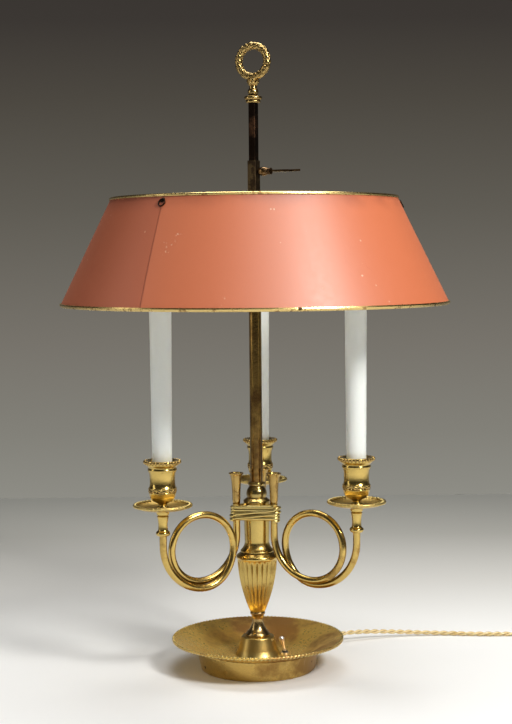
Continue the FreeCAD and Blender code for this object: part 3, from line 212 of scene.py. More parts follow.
def tarnish_group():
    """Stains in soft clouds, grime in the hollows and fine grain, for old metal and paint."""
    tree, given, out = effect("tarnish", [
        ("Clean", "Color", (0.7, 0.5, 0.2, 1)), ("Stain", "Color", (0.4, 0.2, 0.1, 1)),
        ("Grime", "Color", (0.1, 0.05, 0.02, 1)), ("Scale", "Float", 20), ("Stained", "Float", 0.4),
        ("Grimed", "Float", 0.6), ("Polish", "Float", 0.2), ("Dullness", "Float", 0.45),
        ("Grain", "Float", 0.3),
    ], [("Color", "Color"), ("Roughness", "Float"), ("Height", "Float")])
    spot = place_of(tree)
    clouds = node(tree, "ShaderNodeTexNoise", {"Vector": spot, "Scale": given["Scale"], "Detail": 5,
                                               "Roughness": 0.62}).outputs[0]
    fine = maths(tree, "MULTIPLY", given["Scale"], 22)
    grain = node(tree, "ShaderNodeTexNoise", {"Vector": spot, "Detail": 3, "Scale": fine}).outputs[0]
    edge = maths(tree, "SUBTRACT", 0.72, maths(tree, "MULTIPLY", given["Stained"], 0.42))
    stained = span(tree, clouds, edge, maths(tree, "ADD", edge, 0.16))
    hollow = node(tree, "ShaderNodeAmbientOcclusion", {"Distance": 0.006}, samples=6,
                  only_local=True).outputs["AO"]
    grimed = maths(tree, "MULTIPLY", span(tree, hollow, 0.95, 0.35), given["Grimed"])
    worn = maths(tree, "MULTIPLY_ADD", maths(tree, "SUBTRACT", grain, 0.5), given["Grain"], 1.0)
    colour = blend(tree, stained, given["Clean"], given["Stain"])
    colour = blend(tree, grimed, colour, given["Grime"])
    colour = blend(tree, 1.0, colour, worn, "MULTIPLY")
    tree.links.new(colour, out["Color"])
    dull = maths(tree, "MAXIMUM", maths(tree, "MULTIPLY", stained, 0.7), grimed)
    rough = maths(tree, "MULTIPLY_ADD", dull, maths(tree, "SUBTRACT", given["Dullness"], given["Polish"]),
                  given["Polish"])
    tree.links.new(maths(tree, "MULTIPLY", rough, maths(tree, "MULTIPLY_ADD", grain, 0.3, 0.85)),
                   out["Roughness"])
    tree.links.new(maths(tree, "MULTIPLY_ADD", clouds, 0.6, maths(tree, "MULTIPLY", grain, 0.4)),
                   out["Height"])
    return tree


def pits_group():
    """Scattered small pits or chips."""
    tree, given, out = effect("pits", [("Scale", "Float", 120), ("Size", "Float", 0.25),
                                       ("Share", "Float", 0.3)], [("Mask", "Float")])
    spot = place_of(tree)
    ragged = maths(tree, "MULTIPLY", given["Scale"], 2.2)
    bent = node(tree, "ShaderNodeTexNoise", {"Vector": spot, "Scale": ragged}).outputs[1]
    moved = node(tree, "ShaderNodeVectorMath", {0: bent, "Scale": 0.004}, operation="SCALE").outputs[0]
    cells = node(tree, "ShaderNodeTexVoronoi", {
        "Vector": node(tree, "ShaderNodeVectorMath", {0: spot, 1: moved}, operation="ADD").outputs[0],
        "Scale": given["Scale"]})
    lot = node(tree, "ShaderNodeSeparateColor", {0: cells.outputs["Color"]}).outputs[0]
    chosen = maths(tree, "LESS_THAN", lot, given["Share"])
    dot = span(tree, cells.outputs["Distance"], given["Size"], maths(tree, "MULTIPLY", given["Size"], 0.5))
    tree.links.new(maths(tree, "MULTIPLY", chosen, dot), out["Mask"])
    return tree


def scratches_group():
    """Long fine scratches in one main direction."""
    tree, given, out = effect("scratches", [("Stretch", "Vector", (60, 60, 8)), ("Share", "Float", 0.5)],
                              [("Mask", "Float")])
    stretched = node(tree, "ShaderNodeMapping", {"Vector": place_of(tree),
                                                 "Scale": given["Stretch"]}).outputs[0]
    lines = node(tree, "ShaderNodeTexNoise", {"Vector": stretched, "Scale": 1, "Detail": 1.5}).outputs[0]
    thin = span(tree, maths(tree, "ABSOLUTE", maths(tree, "SUBTRACT", lines, 0.5)), 0.007, 0.001)
    patches = node(tree, "ShaderNodeTexNoise", {"Vector": place_of(tree), "Scale": 22}).outputs[0]
    start = maths(tree, "SUBTRACT", 0.75, maths(tree, "MULTIPLY", given["Share"], 0.4))
    kept = span(tree, patches, start, 0.8)
    tree.links.new(maths(tree, "MULTIPLY", thin, kept), out["Mask"])
    return tree


TARNISH = tarnish_group()
PITS = pits_group()
SCRATCHES = scratches_group()


def apply(tree, group, **values):
    """A group placed in a material with its own values."""
    made = node(tree, "ShaderNodeGroup", node_tree=group)
    for name, value in values.items():
        label = name.replace("_", " ").title()
        if isinstance(value, bpy.types.NodeSocket):
            tree.links.new(value, made.inputs[label])
        else:
            made.inputs[label].default_value = value
    return made.outputs


def empty_finish(name):
    """A material with only its shader, the shader and the tree."""
    material = bpy.data.materials.new(name)
    material.use_nodes = True
    return material, material.node_tree.nodes["Principled BSDF"], material.node_tree


def relief(tree, shader, height, depth):
    """Raise the surface by a height map."""
    bump = node(tree, "ShaderNodeBump", {"Height": height, "Distance": depth, "Strength": 1.0})
    tree.links.new(bump.outputs[0], shader.inputs["Normal"])


def metal(name, clean, stain, grime, scale=18, stained=0.4, grimed=0.7, polish=0.2, dullness=0.45,
          depth=0.00012, pits=0.0, scratched=0.4, grain=0.3, metallic=1.0):
    """Old metal: clean and stained places, grime in its hollows, fine scratches and pits."""
    material, shader, tree = empty_finish(name)
    aged = apply(tree, TARNISH, clean=clean, stain=stain, grime=grime, scale=scale, stained=stained,
                 grimed=grimed, polish=polish, dullness=dullness, grain=grain)
    lines = apply(tree, SCRATCHES, share=scratched)["Mask"]
    holes = apply(tree, PITS, share=pits, scale=70, size=0.2)["Mask"]
    colour = blend(tree, holes, aged["Color"], grime)
    tree.links.new(blend(tree, maths(tree, "MULTIPLY", lines, 0.25), colour, (1, 0.85, 0.6, 1)),
                   shader.inputs["Base Color"])
    rough = maths(tree, "MULTIPLY_ADD", maths(tree, "MAXIMUM", lines, holes), 0.2, aged["Roughness"])
    tree.links.new(rough, shader.inputs["Roughness"])
    shader.inputs["Metallic"].default_value = metallic
    relief(tree, shader, maths(tree, "SUBTRACT", aged["Height"], holes), depth)
    return material


def plain(name, clean, stain, grime, scale=30, stained=0.3, grimed=0.4, polish=0.35, dullness=0.6,
          depth=0.0001, grain=0.2, **constants):
    """Anything that isn't metal: paint, plastic, rubber, felt. Constants go on the shader."""
    material, shader, tree = empty_finish(name)
    aged = apply(tree, TARNISH, clean=clean, stain=stain, grime=grime, scale=scale, stained=stained,
                 grimed=grimed, polish=polish, dullness=dullness, grain=grain)
    tree.links.new(aged["Color"], shader.inputs["Base Color"])
    tree.links.new(aged["Roughness"], shader.inputs["Roughness"])
    relief(tree, shader, aged["Height"], depth)
    for label, value in constants.items():
        shader.inputs[label.replace("_", " ").title()].default_value = value
    return material


# Finishes

POLISHED = metal("polished_brass", (0.60, 0.43, 0.13, 1), (0.38, 0.25, 0.07, 1), (0.07, 0.035, 0.012, 1),
                 stained=0.35, polish=0.18, dullness=0.4)
SATIN = metal("satin_brass", (0.60, 0.43, 0.14, 1), (0.46, 0.31, 0.09, 1), (0.08, 0.04, 0.014, 1),
              stained=0.3, polish=0.36, dullness=0.48)
PALE = metal("pale_brass", (0.66, 0.52, 0.20, 1), (0.48, 0.35, 0.12, 1), (0.06, 0.03, 0.01, 1),
             scale=30, polish=0.28, dullness=0.45, grimed=1.0)
RIBBON = metal("ribbon_brass", (0.72, 0.58, 0.23, 1), (0.54, 0.41, 0.14, 1), (0.10, 0.06, 0.02, 1),
               scale=40, polish=0.3, dullness=0.45, grimed=0.75)
CAST = metal("cast_gilt", (0.48, 0.33, 0.12, 1), (0.26, 0.15, 0.055, 1), (0.03, 0.016, 0.006, 1),
             scale=60, polish=0.22, dullness=0.5, grimed=1.0)
DISH = metal("dish_brass", (0.84, 0.55, 0.13, 1), (0.40, 0.20, 0.05, 1), (0.14, 0.06, 0.02, 1),
             scale=14, stained=0.6, grimed=0.5, polish=0.28, dullness=0.5, depth=0.00005, scratched=0.6,
             grain=0.12, metallic=0.66)
FOOT = metal("foot_brass", (0.60, 0.42, 0.13, 1), (0.34, 0.20, 0.06, 1), (0.05, 0.025, 0.01, 1),
             scale=24, stained=0.62, grimed=0.9, polish=0.26, dullness=0.48, pits=0.3, scratched=0.7)
AGED = metal("aged_brass", (0.44, 0.32, 0.11, 1), (0.20, 0.13, 0.045, 1), (0.03, 0.018, 0.008, 1),
             scale=40, stained=0.6, polish=0.22, dullness=0.5)
SLEEVE = metal("sleeve_brass", (0.17, 0.115, 0.055, 1), (0.05, 0.032, 0.018, 1), (0.02, 0.012, 0.008, 1),
               scale=110, stained=0.75, polish=0.3, dullness=0.5)
KEY = metal("key_brass", (0.22, 0.13, 0.055, 1), (0.09, 0.05, 0.025, 1), (0.02, 0.012, 0.008, 1),
            scale=80, stained=0.6, polish=0.25, dullness=0.5)
# The stem's brass is darker and browner than the other brass: painted shade standing in for the dark room its
# polished tube mirrors, over real tarnish.
STEM = metal("stem_brass", (0.42, 0.26, 0.075, 1), (0.15, 0.08, 0.026, 1), (0.04, 0.02, 0.01, 1),
             scale=20, stained=0.72, polish=0.1, dullness=0.24)
HORN = metal("horn_brass", (0.60, 0.42, 0.125, 1), (0.36, 0.22, 0.06, 1), (0.07, 0.035, 0.012, 1),
             scale=26, stained=0.5, polish=0.18, dullness=0.38)
BELL = metal("bell_brass", (0.42, 0.28, 0.09, 1), (0.24, 0.14, 0.045, 1), (0.05, 0.025, 0.01, 1),
             scale=50, stained=0.6, polish=0.2, dullness=0.45)
VASE = metal("vase_brass", (0.58, 0.42, 0.13, 1), (0.36, 0.23, 0.07, 1), (0.04, 0.02, 0.008, 1),
             scale=26, stained=0.45, grimed=1.0, polish=0.22, dullness=0.46)
BRONZE = metal("dark_bronze", (0.020, 0.012, 0.008, 1), (0.085, 0.042, 0.022, 1), (0.008, 0.005, 0.004, 1),
               scale=45, stained=0.5, polish=0.3, dullness=0.5)
KNOP = metal("knop_brass", (0.46, 0.32, 0.13, 1), (0.24, 0.15, 0.065, 1), (0.05, 0.03, 0.014, 1),
             scale=40, stained=0.55, polish=0.22, dullness=0.42)
GILT = metal("gilt_rim", (0.66, 0.49, 0.19, 1), (0.30, 0.18, 0.07, 1), (0.05, 0.028, 0.014, 1),
             scale=110, stained=0.45, grimed=0.35, polish=0.26, dullness=0.5, pits=0.3)
STEEL = metal("steel", (0.42, 0.41, 0.39, 1), (0.24, 0.21, 0.18, 1), (0.08, 0.06, 0.05, 1), scale=60)
IRON = metal("iron", (0.09, 0.085, 0.08, 1), (0.16, 0.07, 0.035, 1), (0.03, 0.02, 0.015, 1),
             scale=50, stained=0.6, polish=0.5, dullness=0.75)
NICKEL = metal("nickel", (0.95, 0.88, 0.84, 1), (0.85, 0.72, 0.66, 1), (0.16, 0.09, 0.07, 1),
               scale=70, stained=0.25, polish=0.34, dullness=0.45)
IVORY = plain("ivory_sleeve", (0.93, 0.92, 0.86, 1), (0.88, 0.84, 0.72, 1), (0.42, 0.36, 0.26, 1),
              scale=16, stained=0.3, grimed=0.25, polish=0.36, dullness=0.5, grain=0.04,
              subsurface_weight=0.12)
WHITE = plain("holder_white", (0.72, 0.71, 0.67, 1), (0.6, 0.57, 0.5, 1), (0.25, 0.22, 0.18, 1))
BLACK = plain("black_plastic", (0.02, 0.02, 0.02, 1), (0.035, 0.032, 0.03, 1), (0.01, 0.01, 0.01, 1))
RUBBER = plain("rubber", (0.30, 0.19, 0.08, 1), (0.22, 0.13, 0.05, 1), (0.06, 0.04, 0.02, 1), scale=60)
FELT = plain("felt", (0.035, 0.075, 0.045, 1), (0.05, 0.09, 0.06, 1), (0.02, 0.03, 0.02, 1),
             scale=90, polish=0.9, dullness=1.0, depth=0.0006)
PLUG = plain("plug_plastic", (0.42, 0.27, 0.10, 1), (0.34, 0.20, 0.07, 1), (0.10, 0.06, 0.03, 1),
             scale=60, polish=0.28, dullness=0.45)
CORD = plain("cord_gold", (0.80, 0.60, 0.30, 1), (0.66, 0.44, 0.17, 1), (0.40, 0.22, 0.08, 1),
             scale=50, grimed=0.55, polish=0.16, dullness=0.32, coat_weight=0.4, subsurface_weight=0.1)


# The shade in metres and radians: its foot and top, where its lap seam runs, and where it is chipped.
SHADE_FOOT = 0.4028
SHADE_TOP = 0.5124
SHADE_MEAN_RADIUS = 0.18
SEAM_FOOT_TURN = -2.133
SEAM_TOP_TURN = -2.189
CHIPPED_PLACES = (((-0.0843, -0.159, 0.4617), 0.011), ((-0.0715, -0.158, 0.474), 0.007),
                  ((0.019, -0.161, 0.497), 0.005), ((0.06, -0.19, 0.409), 0.008),
                  ((-0.03, -0.2, 0.4075), 0.007), ((0.13, 0.11, 0.45), 0.012))


def painted_shade():
    """Coral red paint on sheet metal with a lap seam, chips and scratches, cream inside, with painted shade
    left of the seam and under the top rim.
    """
    material, shader, tree = empty_finish("shade_red")
    spot = place_of(tree)
    part = node(tree, "ShaderNodeSeparateXYZ", {0: spot}).outputs
    aged = apply(tree, TARNISH, clean=(0.55, 0.146, 0.058, 1), stain=(0.51, 0.124, 0.046, 1),
                 grime=(0.22, 0.04, 0.02, 1), scale=9, stained=0.3, grimed=0.4, polish=0.46, dullness=0.54,
                 grain=0.05)
    way = maths(tree, "ARCTAN2", part[1], part[0])
    seam = node(tree, "ShaderNodeMapRange", {0: part[2], 1: SHADE_FOOT, 2: SHADE_TOP,
                                             3: SEAM_FOOT_TURN, 4: SEAM_TOP_TURN}).outputs[0]
    past = maths(tree, "MULTIPLY", maths(tree, "SUBTRACT", way, seam), SHADE_MEAN_RADIUS)
    edge = span(tree, maths(tree, "ABSOLUTE", past), 0.0016, 0.0004)
    # The paint left of the lap seam is a little darker, deepened and spread into painted shade for the
    # shadowed left side of the cone.
    under = maths(tree, "MULTIPLY", span(tree, past, 0.0006, -0.0006), span(tree, past, -0.21, -0.10))
    colour = blend(tree, maths(tree, "MULTIPLY", under, 0.36), aged["Color"], (0.24, 0.042, 0.018, 1))
    colour = blend(tree, maths(tree, "MULTIPLY", edge, 0.18), colour, (0.25, 0.04, 0.02, 1))
    mottle_noise = node(tree, "ShaderNodeTexNoise", {"Vector": spot, "Scale": 26, "Detail": 4}).outputs[0]
    # Painted shadow of the top rim: the paint darkens in a mottled band just under it.
    top = maths(tree, "MULTIPLY", span(tree, part[2], 0.494, 0.513), span(tree, mottle_noise, 0.3, 0.7))
    colour = blend(tree, maths(tree, "MULTIPLY", top, 0.45), colour, (0.20, 0.045, 0.025, 1))
    chips = apply(tree, PITS, scale=330, size=0.36, share=0.32)["Mask"]
    near = None
    for place, reach in CHIPPED_PLACES:
        gap = node(tree, "ShaderNodeVectorMath", {0: spot, 1: place}, operation="DISTANCE").outputs["Value"]
        here = span(tree, gap, reach, reach * 0.4)
        near = here if near is None else maths(tree, "MAXIMUM", near, here)
    chipped = maths(tree, "MULTIPLY", chips, near)
    strays = apply(tree, PITS, scale=75, size=0.1, share=0.12)["Mask"]
    chipped = maths(tree, "MAXIMUM", chipped, maths(tree, "MULTIPLY", strays, 0.6))
    lines = apply(tree, SCRATCHES, stretch=(52, 52, 9), share=0.42)["Mask"]
    colour = blend(tree, maths(tree, "MULTIPLY", lines, 0.35), colour, (0.42, 0.07, 0.03, 1))
    colour = blend(tree, chipped, colour, (0.80, 0.55, 0.38, 1))
    outward = node(tree, "ShaderNodeVectorMath", {
        0: tree.nodes.new("ShaderNodeNewGeometry").outputs["Normal"],
        1: node(tree, "ShaderNodeVectorMath", {0: spot, 1: (1, 1, 0)}, operation="MULTIPLY").outputs[0]},
        operation="DOT_PRODUCT").outputs["Value"]
    inside = maths(tree, "LESS_THAN", outward, 0.0)
    cream = blend(tree, span(tree, mottle_noise, 0.35, 0.75), (0.74, 0.66, 0.50, 1), (0.62, 0.52, 0.36, 1))
    tree.links.new(blend(tree, inside, colour, cream), shader.inputs["Base Color"])
    tree.links.new(maths(tree, "MULTIPLY_ADD", chipped, 0.2, aged["Roughness"]), shader.inputs["Roughness"])
    lap = maths(tree, "MULTIPLY", span(tree, past, -0.0012, 0.0), 1.5)
    height = maths(tree, "ADD", maths(tree, "MULTIPLY", aged["Height"], 0.12),
                   maths(tree, "SUBTRACT", lap, chipped))
    relief(tree, shader, height, 0.00025)
    shader.inputs["Specular IOR Level"].default_value = 0.9
    shader.inputs["Coat Weight"].default_value = 0.12
    shader.inputs["Coat Roughness"].default_value = 0.55
    return material


def bulb_glass():
    """Clear glass with a faint film of dust."""
    material, shader, tree = empty_finish("bulb_glass")
    film = node(tree, "ShaderNodeTexNoise", {"Vector": place_of(tree), "Scale": 45, "Detail": 4}).outputs[0]
    tree.links.new(blend(tree, span(tree, film, 0.4, 0.8), (0.96, 0.96, 0.95, 1), (0.82, 0.80, 0.75, 1)),
                   shader.inputs["Base Color"])
    tree.links.new(span(tree, film, 0.4, 0.8, 0.03, 0.2), shader.inputs["Roughness"])
    shader.inputs["Transmission Weight"].default_value = 1.0
    shader.inputs["IOR"].default_value = 1.45
    return material


RED = painted_shade()
GLASS = bulb_glass()

# The cord: route points in metres, then the put-away coil, wound in and back out on itself.
CORD_RADIUS = 0.00275
CORD_ROUTE = [
    (0.0558, 0.0665, 0.0076), (0.0699, 0.0833, 0.0076), (0.098, 0.106, 0.0106), (0.137, 0.1205, 0.0086),
    (0.179, 0.1305, 0.0046), (0.222, 0.1318, 0.00275), (0.264, 0.1254, 0.00275), (0.309, 0.1252, 0.00275),
    (0.350, 0.128, 0.00275), (0.380, 0.128, 0.00275),
]
COIL_MIDDLE = Vector((0.388, 0.0884, 0))
COIL_OUTER = 0.0396
COIL_INNER = 0.0156
COIL_PITCH = 0.006
COIL_SLACK = 1.01
QUARTERS_IN = 16
QUARTERS = 34
STEPS_IN_QUARTER = 4
LINE_STEP = 0.0009
TWIST = 0.021


def coil_points():
    """The coil's points: four turns inwards on the floor, then four and a half out on top of them."""
    points = []
    for index in range(QUARTERS * STEPS_IN_QUARTER + 1):
        quarter = index / STEPS_IN_QUARTER
        back = quarter - QUARTERS_IN
        if back <= 0:
            reach = COIL_OUTER - COIL_PITCH * quarter / 4
        elif back < 1:
            reach = COIL_INNER - COIL_PITCH * back / 4
        else:
            reach = COIL_INNER + COIL_PITCH * (back - 2) / 4
        lift = COIL_PITCH * min(max(back, 0) / 2, 1)
        angle = math.radians(90 * quarter)
        reach *= COIL_SLACK
        points.append(COIL_MIDDLE + Vector((reach * math.sin(angle), reach * math.cos(angle),
                                            CORD_RADIUS + lift)))
    return points


def smooth_line(points, resolution):
    """Points read from the smooth curve that a list of points leads."""
    curve = bpy.data.curves.new("line", "CURVE")
    curve.dimensions = "3D"
    curve.resolution_u = resolution
    spline = curve.splines.new("NURBS")
    spline.points.add(len(points) - 1)
    for spot, point in zip(spline.points, points):
        spot.co = (*point, 1)
    spline.order_u = 3
    spline.use_endpoint_u = True
    holder = bpy.data.objects.new("line", curve)
    mesh = bpy.data.meshes.new_from_object(holder)
    fine = [vert.co.copy() for vert in mesh.vertices]
    bpy.data.objects.remove(holder)
    return fine


def cord_line():
    """The cord's middle line, read at even steps from its smooth curve."""
    tail = [(0.376, 0.0484, 0.00875), (0.3575, 0.0488, 0.00875)]
    fine = smooth_line(CORD_ROUTE + coil_points() + tail, 30)
    line = [fine[0]]
    for point in fine[1:]:
        if (point - line[-1]).length >= LINE_STEP:
            line.append(point)
    if (fine[-1] - line[-1]).length > LINE_STEP / 3:
        line.append(fine[-1])
    return line


def twisted_cord():
    """Two round cores twisted round each other along the cord's line."""
    line = cord_line()
    core = CORD_RADIUS / 2
    cores = [[], []]
    gone = 0.0
    for index, point in enumerate(line):
        before, after = line[max(index - 1, 0)], line[min(index + 1, len(line) - 1)]
        along = (after - before).normalized()
        side = along.cross(Vector((0, 0, 1))).normalized()
        up = side.cross(along)
        if index:
            gone += (point - line[index - 1]).length
        angle = 2 * math.pi * gone / TWIST
        arm = (side * math.cos(angle) + up * math.sin(angle)) * core
        cores[0].append(point + arm)
        cores[1].append(point - arm)
    mesh = wire_mesh("twisted_cord", cores, core * 1.02, sides=1)
    return finish_piece("twisted_cord", mesh, "root", CORD, ("cord_free", "cord_coil")), line


def coil_tie():
    """A short tie wound twice round the coil's turns."""
    lines = []
    for shift in (-0.0012, 0.0012):
        middle = COIL_MIDDLE + Vector((shift, 0, 0))
        corners = [(0.0095, 0.0004), (0.0435, 0.0004), (0.0445, 0.003), (0.0435, 0.0092), (0.036, 0.0122),
                   (0.017, 0.0122), (0.0085, 0.0088), (0.0083, 0.003)]
        lines.append([middle + Vector((0, out, up)) for out, up in corners])
    mesh = wire_mesh("coil_tie", lines, 0.0004, closed=True)
    return finish_piece("coil_tie", mesh, "root", BLACK)


cord, cord_path = twisted_cord()
tie = coil_tie()

# Pieces that stay as the solids are, and their finishes.
CARRIED = {
    SATIN: ["boss", "drip_pan_1", "drip_pan_2", "drip_pan_3"],
    VASE: ["fluted_vase", "vase_neck"],
    POLISHED: ["ferrule_1", "ferrule_2", "ferrule_3"],
    STEM: ["stem_tube"],
    CAST: ["finial_stem"],
    SLEEVE: ["shade_sleeve"],
    KEY: ["thumb_screw"],
    HORN: ["horn_1", "horn_2", "horn_3"],
    AGED: ["stem_socket", "stem_cap", "shade_spider", "bulb_cap_1", "bulb_cap_2", "bulb_cap_3"],
    KNOP: ["knop"],
    BRONZE: ["square_bar", "shade_screws"],
    RED: ["shade_cone"],
    GILT: ["shade_top_rim", "shade_bottom_rim"],
    STEEL: ["tie_rod", "tie_nut", "holder_rod_1", "holder_rod_2", "holder_rod_3"],
    IRON: ["ballast_disc"],
    FELT: ["base_felt"],
    NICKEL: ["switch_nut", "plug_pins"],
    BLACK: ["switch_body"],
    RUBBER: ["cord_bush"],
    PLUG: ["plug_body"],
    IVORY: ["candle_sleeve_1", "candle_sleeve_2", "candle_sleeve_3"],
    WHITE: ["lampholder_1", "lampholder_2", "lampholder_3"],
    GLASS: ["bulb_1", "bulb_2", "bulb_3"],
}
for finish, names in CARRIED.items():
    for name in names:
        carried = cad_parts[name]
        for place in carried.material_slots:
            place.material = finish

LEAF = leaf_form()
ARM_TURNS = (-30.0, 84.4, 210.0)
SCREW_TURNS = (234.6, 354.6, 114.6)
# A horn's upright tube stands this far from the lamp's axis and aside of its arm.
HORN_OUT = 0.0236
HORN_ASIDE = 0.00334


def horn_spot(turn):
    """Where a horn's upright tube stands, by the turn of its arm."""
    angle = math.radians(turn)
    out = Vector((math.cos(angle), math.sin(angle), 0))
    side = Vector((-math.sin(angle), math.cos(angle), 0))
    return out * HORN_OUT - side * HORN_ASIDE


def arm_middle(number):
    """The upright line that an arm's cup and candle share."""
    low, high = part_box(f"candle_cup_{number}")
    return (low + high) / 2


# Roped rim of the dish

def dish_rope_rim():
    """Slanted beads laid round the dish's edge like the strands of a rope."""
    bm = bmesh.new()
    count = 132
    for index in range(count):
        place = (turn_about(360 / count * index) @ Matrix.Translation((0.09285, 0, 0.03275))
                 @ Matrix.Rotation(math.radians(38), 4, "X"))
        bead(bm, place, (0.00148, 0.0031, 0.00125), 8, 5)
    return cast("dish_rope_rim", bm, "root", PALE)


# Drip pans and candle cups: cast rims and ornament

def pan_rim(number):
    """Slanted beads round the edge of a drip pan."""
    bm = bmesh.new()
    middle = arm_middle(number)
    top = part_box(f"drip_pan_{number}")[1].z
    count = 44
    for index in range(count):
        place = (Matrix.Translation((middle.x, middle.y, top - 0.0014)) @ turn_about(360 / count * index)
                 @ Matrix.Translation((0.0290, 0, 0)) @ Matrix.Rotation(math.radians(16), 4, "Y")
                 @ turn_about(32))
        bead(bm, place, (0.0030, 0.00140, 0.0020), 8, 5)
    return cast(f"pan_rim_{number}", bm, "root", PALE)


def candle_cup(number):
    """The cup's body: a footed bell with a stepped shoulder and a flared rim."""
    middle = arm_middle(number)
    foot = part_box(f"candle_cup_{number}")[0].z
    foot_and_bowl = [(0, 0), (6.6, 0), (6.8, 0.9), (4.7, 1.7), (4.3, 3.2), (5.4, 4.8), (9.4, 6.6),
                     (12.4, 9.4), (13.8, 12.8), (14.3, 15.4)]
    band = [(14.5, 15.8), (14.5, 16.6), (14.1, 17.0), (14.3, 20.2), (14.5, 20.6), (14.5, 21.4), (13.9, 21.9)]
    wall = [(13.3, 26.0), (13.3, 31.0), (13.8, 36.4), (14.7, 38.0), (14.7, 38.6), (15.3, 39.0), (15.3, 41.4),
            (14.6, 42.0), (15.0, 43.2)]
    rim = [(17.0, 45.0), (18.0, 46.2), (18.4, 47.8), (18.2, 49.4), (17.6, 50.2), (15.8, 50.2)]
    inside = [(12.4, 49.0), (11.2, 47.4), (11.0, 14.2), (0, 14.2)]
    outline = foot_and_bowl + band + wall + rim + inside
    return cast(f"cup_body_{number}", lathe(outline, (middle.x, middle.y, foot), 72), "root",
                POLISHED, (f"candle_cup_{number}",))


def cup_ornament(number):
    """A cup's beaded rim, and its band of crossed leaves and curls."""
    bm = bmesh.new()
    middle = arm_middle(number)
    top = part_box(f"candle_cup_{number}")[1].z
    centre = Matrix.Translation((middle.x, middle.y, top))
    count = 30
    for index in range(count):
        place = centre @ turn_about(360 / count * index) @ Matrix.Translation((0.0182, 0, -0.0022))
        bead(bm, place @ Matrix.Rotation(math.radians(24), 4, "Y"), (0.0019, 0.00150, 0.0022), 8, 6)
    for index in range(14):
        lean = 52 if index % 2 else -52
        turn = centre @ turn_about(360 / 14 * index)
        upright = turn @ Matrix.Translation((0.0141, 0, -0.0316)) @ Matrix.Rotation(math.radians(-90), 4, "Y")
        add_leaf(bm, LEAF, upright @ turn_about(lean), (0.0034, 0.0017, 0.0013))
        for side in (-1, 1):
            curl = turn @ turn_about(360 / 28) @ Matrix.Translation((0.0142, 0, -0.0316 + 0.0016 * side))
            bead(bm, curl, (0.0010, 0.0012, 0.0010), 6, 5)
    return cast(f"cup_ornament_{number}", bm, "root", CAST)


# Dish and foot

def dish_bowl():
    """A shallow bowl, flat to half its radius, with a rolled edge."""
    curved = [(42, 13.1), (54, 14.8), (66, 21.6), (80, 28.4), (91.4, 31.8)]
    under = smooth_line([(0.040, 0, 0.0130)] + [(out * MM, 0, up * MM) for out, up in curved], 8)
    below = [(point.x / MM, point.z / MM) for point in under]
    above = [(out - 0.7, up + 1.75) for out, up in reversed(below)]
    outline = [(0, 13.0), *below, (92.6, 31.6), (94.2, 32.6), (94.2, 33.5), (92.8, 34.1), (91.6, 33.9),
               *above, (0, 14.8)]
    return cast("dish_bowl", lathe(outline, steps=128), "root", DISH, ("dish",))


def foot_band():
    """The foot: a tapered band under the bowl, open below."""
    outline = [(59.6, 0.0), (62.0, 0.0), (62.6, 0.5), (62.7, 1.6), (64.2, 8), (66.6, 20.4), (67.2, 22.6),
               (64.2, 21.0), (62.0, 8), (60.2, 1.6), (59.6, 0.0)]
    return cast("foot_band", lathe(outline, steps=128), "root", FOOT, ("foot_ring",))


# Toggle of the switch

def toggle_lever():
    """A short bat-shaped toggle, wide at its rounded tip."""
    low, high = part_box("switch_lever")
    foot = Vector((0.0296, -0.003, 0.018))
    leans_left = foot.x - low.x > high.x - foot.x
    tip = Vector((low.x + 0.0014 if leans_left else high.x - 0.0014, foot.y, high.z))
    way = tip - foot
    tall = 16.4
    outline = [(0, -1.2), (1.5, -1.1), (1.7, 0.2), (1.5, 1.6), (1.7, 5.0), (2.9, 11.0), (3.3, 13.4),
               (2.9, 15.3), (1.4, 16.3), (0, tall)]
    bm = lathe(outline, steps=24)
    bmesh.ops.scale(bm, vec=(1, 1, way.length / (tall * MM)), verts=bm.verts)
    turn = way.to_track_quat("Z", "Y").to_matrix().to_4x4()
    bmesh.ops.transform(bm, matrix=Matrix.Translation(foot) @ turn, verts=bm.verts)
    return cast("toggle_lever", bm, "switch", NICKEL, ("switch_lever",))


# Horn mouths and shade screw cups

def horn_bells():
    """The flared mouths of the three horns, from their upright tubes to a turned-out lip."""
    bm = bmesh.new()
    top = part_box("horn_1")[1].z
    outline = [(3.6, -34), (4.1, -34), (4.3, -30), (4.6, -20), (5.2, -10), (6.0, -5.2), (7.2, -2.0),
               (8.0, -1.0), (8.1, -0.4), (7.7, 0), (6.8, -0.8), (5.4, -3.6), (4.2, -10), (3.6, -34)]
    for turn in ARM_TURNS:
        join(bm, lathe(outline, horn_spot(turn) + Vector((0, 0, top)), 48))
    return cast("horn_bells", bm, "root", BELL)


def screw_cups():
    """A raised washer round each of the shade's three screws."""
    bm = bmesh.new()
    outline = [(3.1, 0.1), (4.4, 0.1), (4.5, 0.9), (4.1, 1.3), (3.5, 1.2), (3.1, 0.6), (3.1, 0.1)]
    wall_slope = 26.06
    for turn in SCREW_TURNS:
        place = (turn_about(turn) @ Matrix.Translation((0.15845, 0, 0.5057))
                 @ Matrix.Rotation(math.radians(90 - wall_slope), 4, "Y"))
        join(bm, lathe(outline, steps=32), place)
    return cast("screw_cups", bm, "shade", BRONZE)


# The ribbon wound round the three horns and the neck

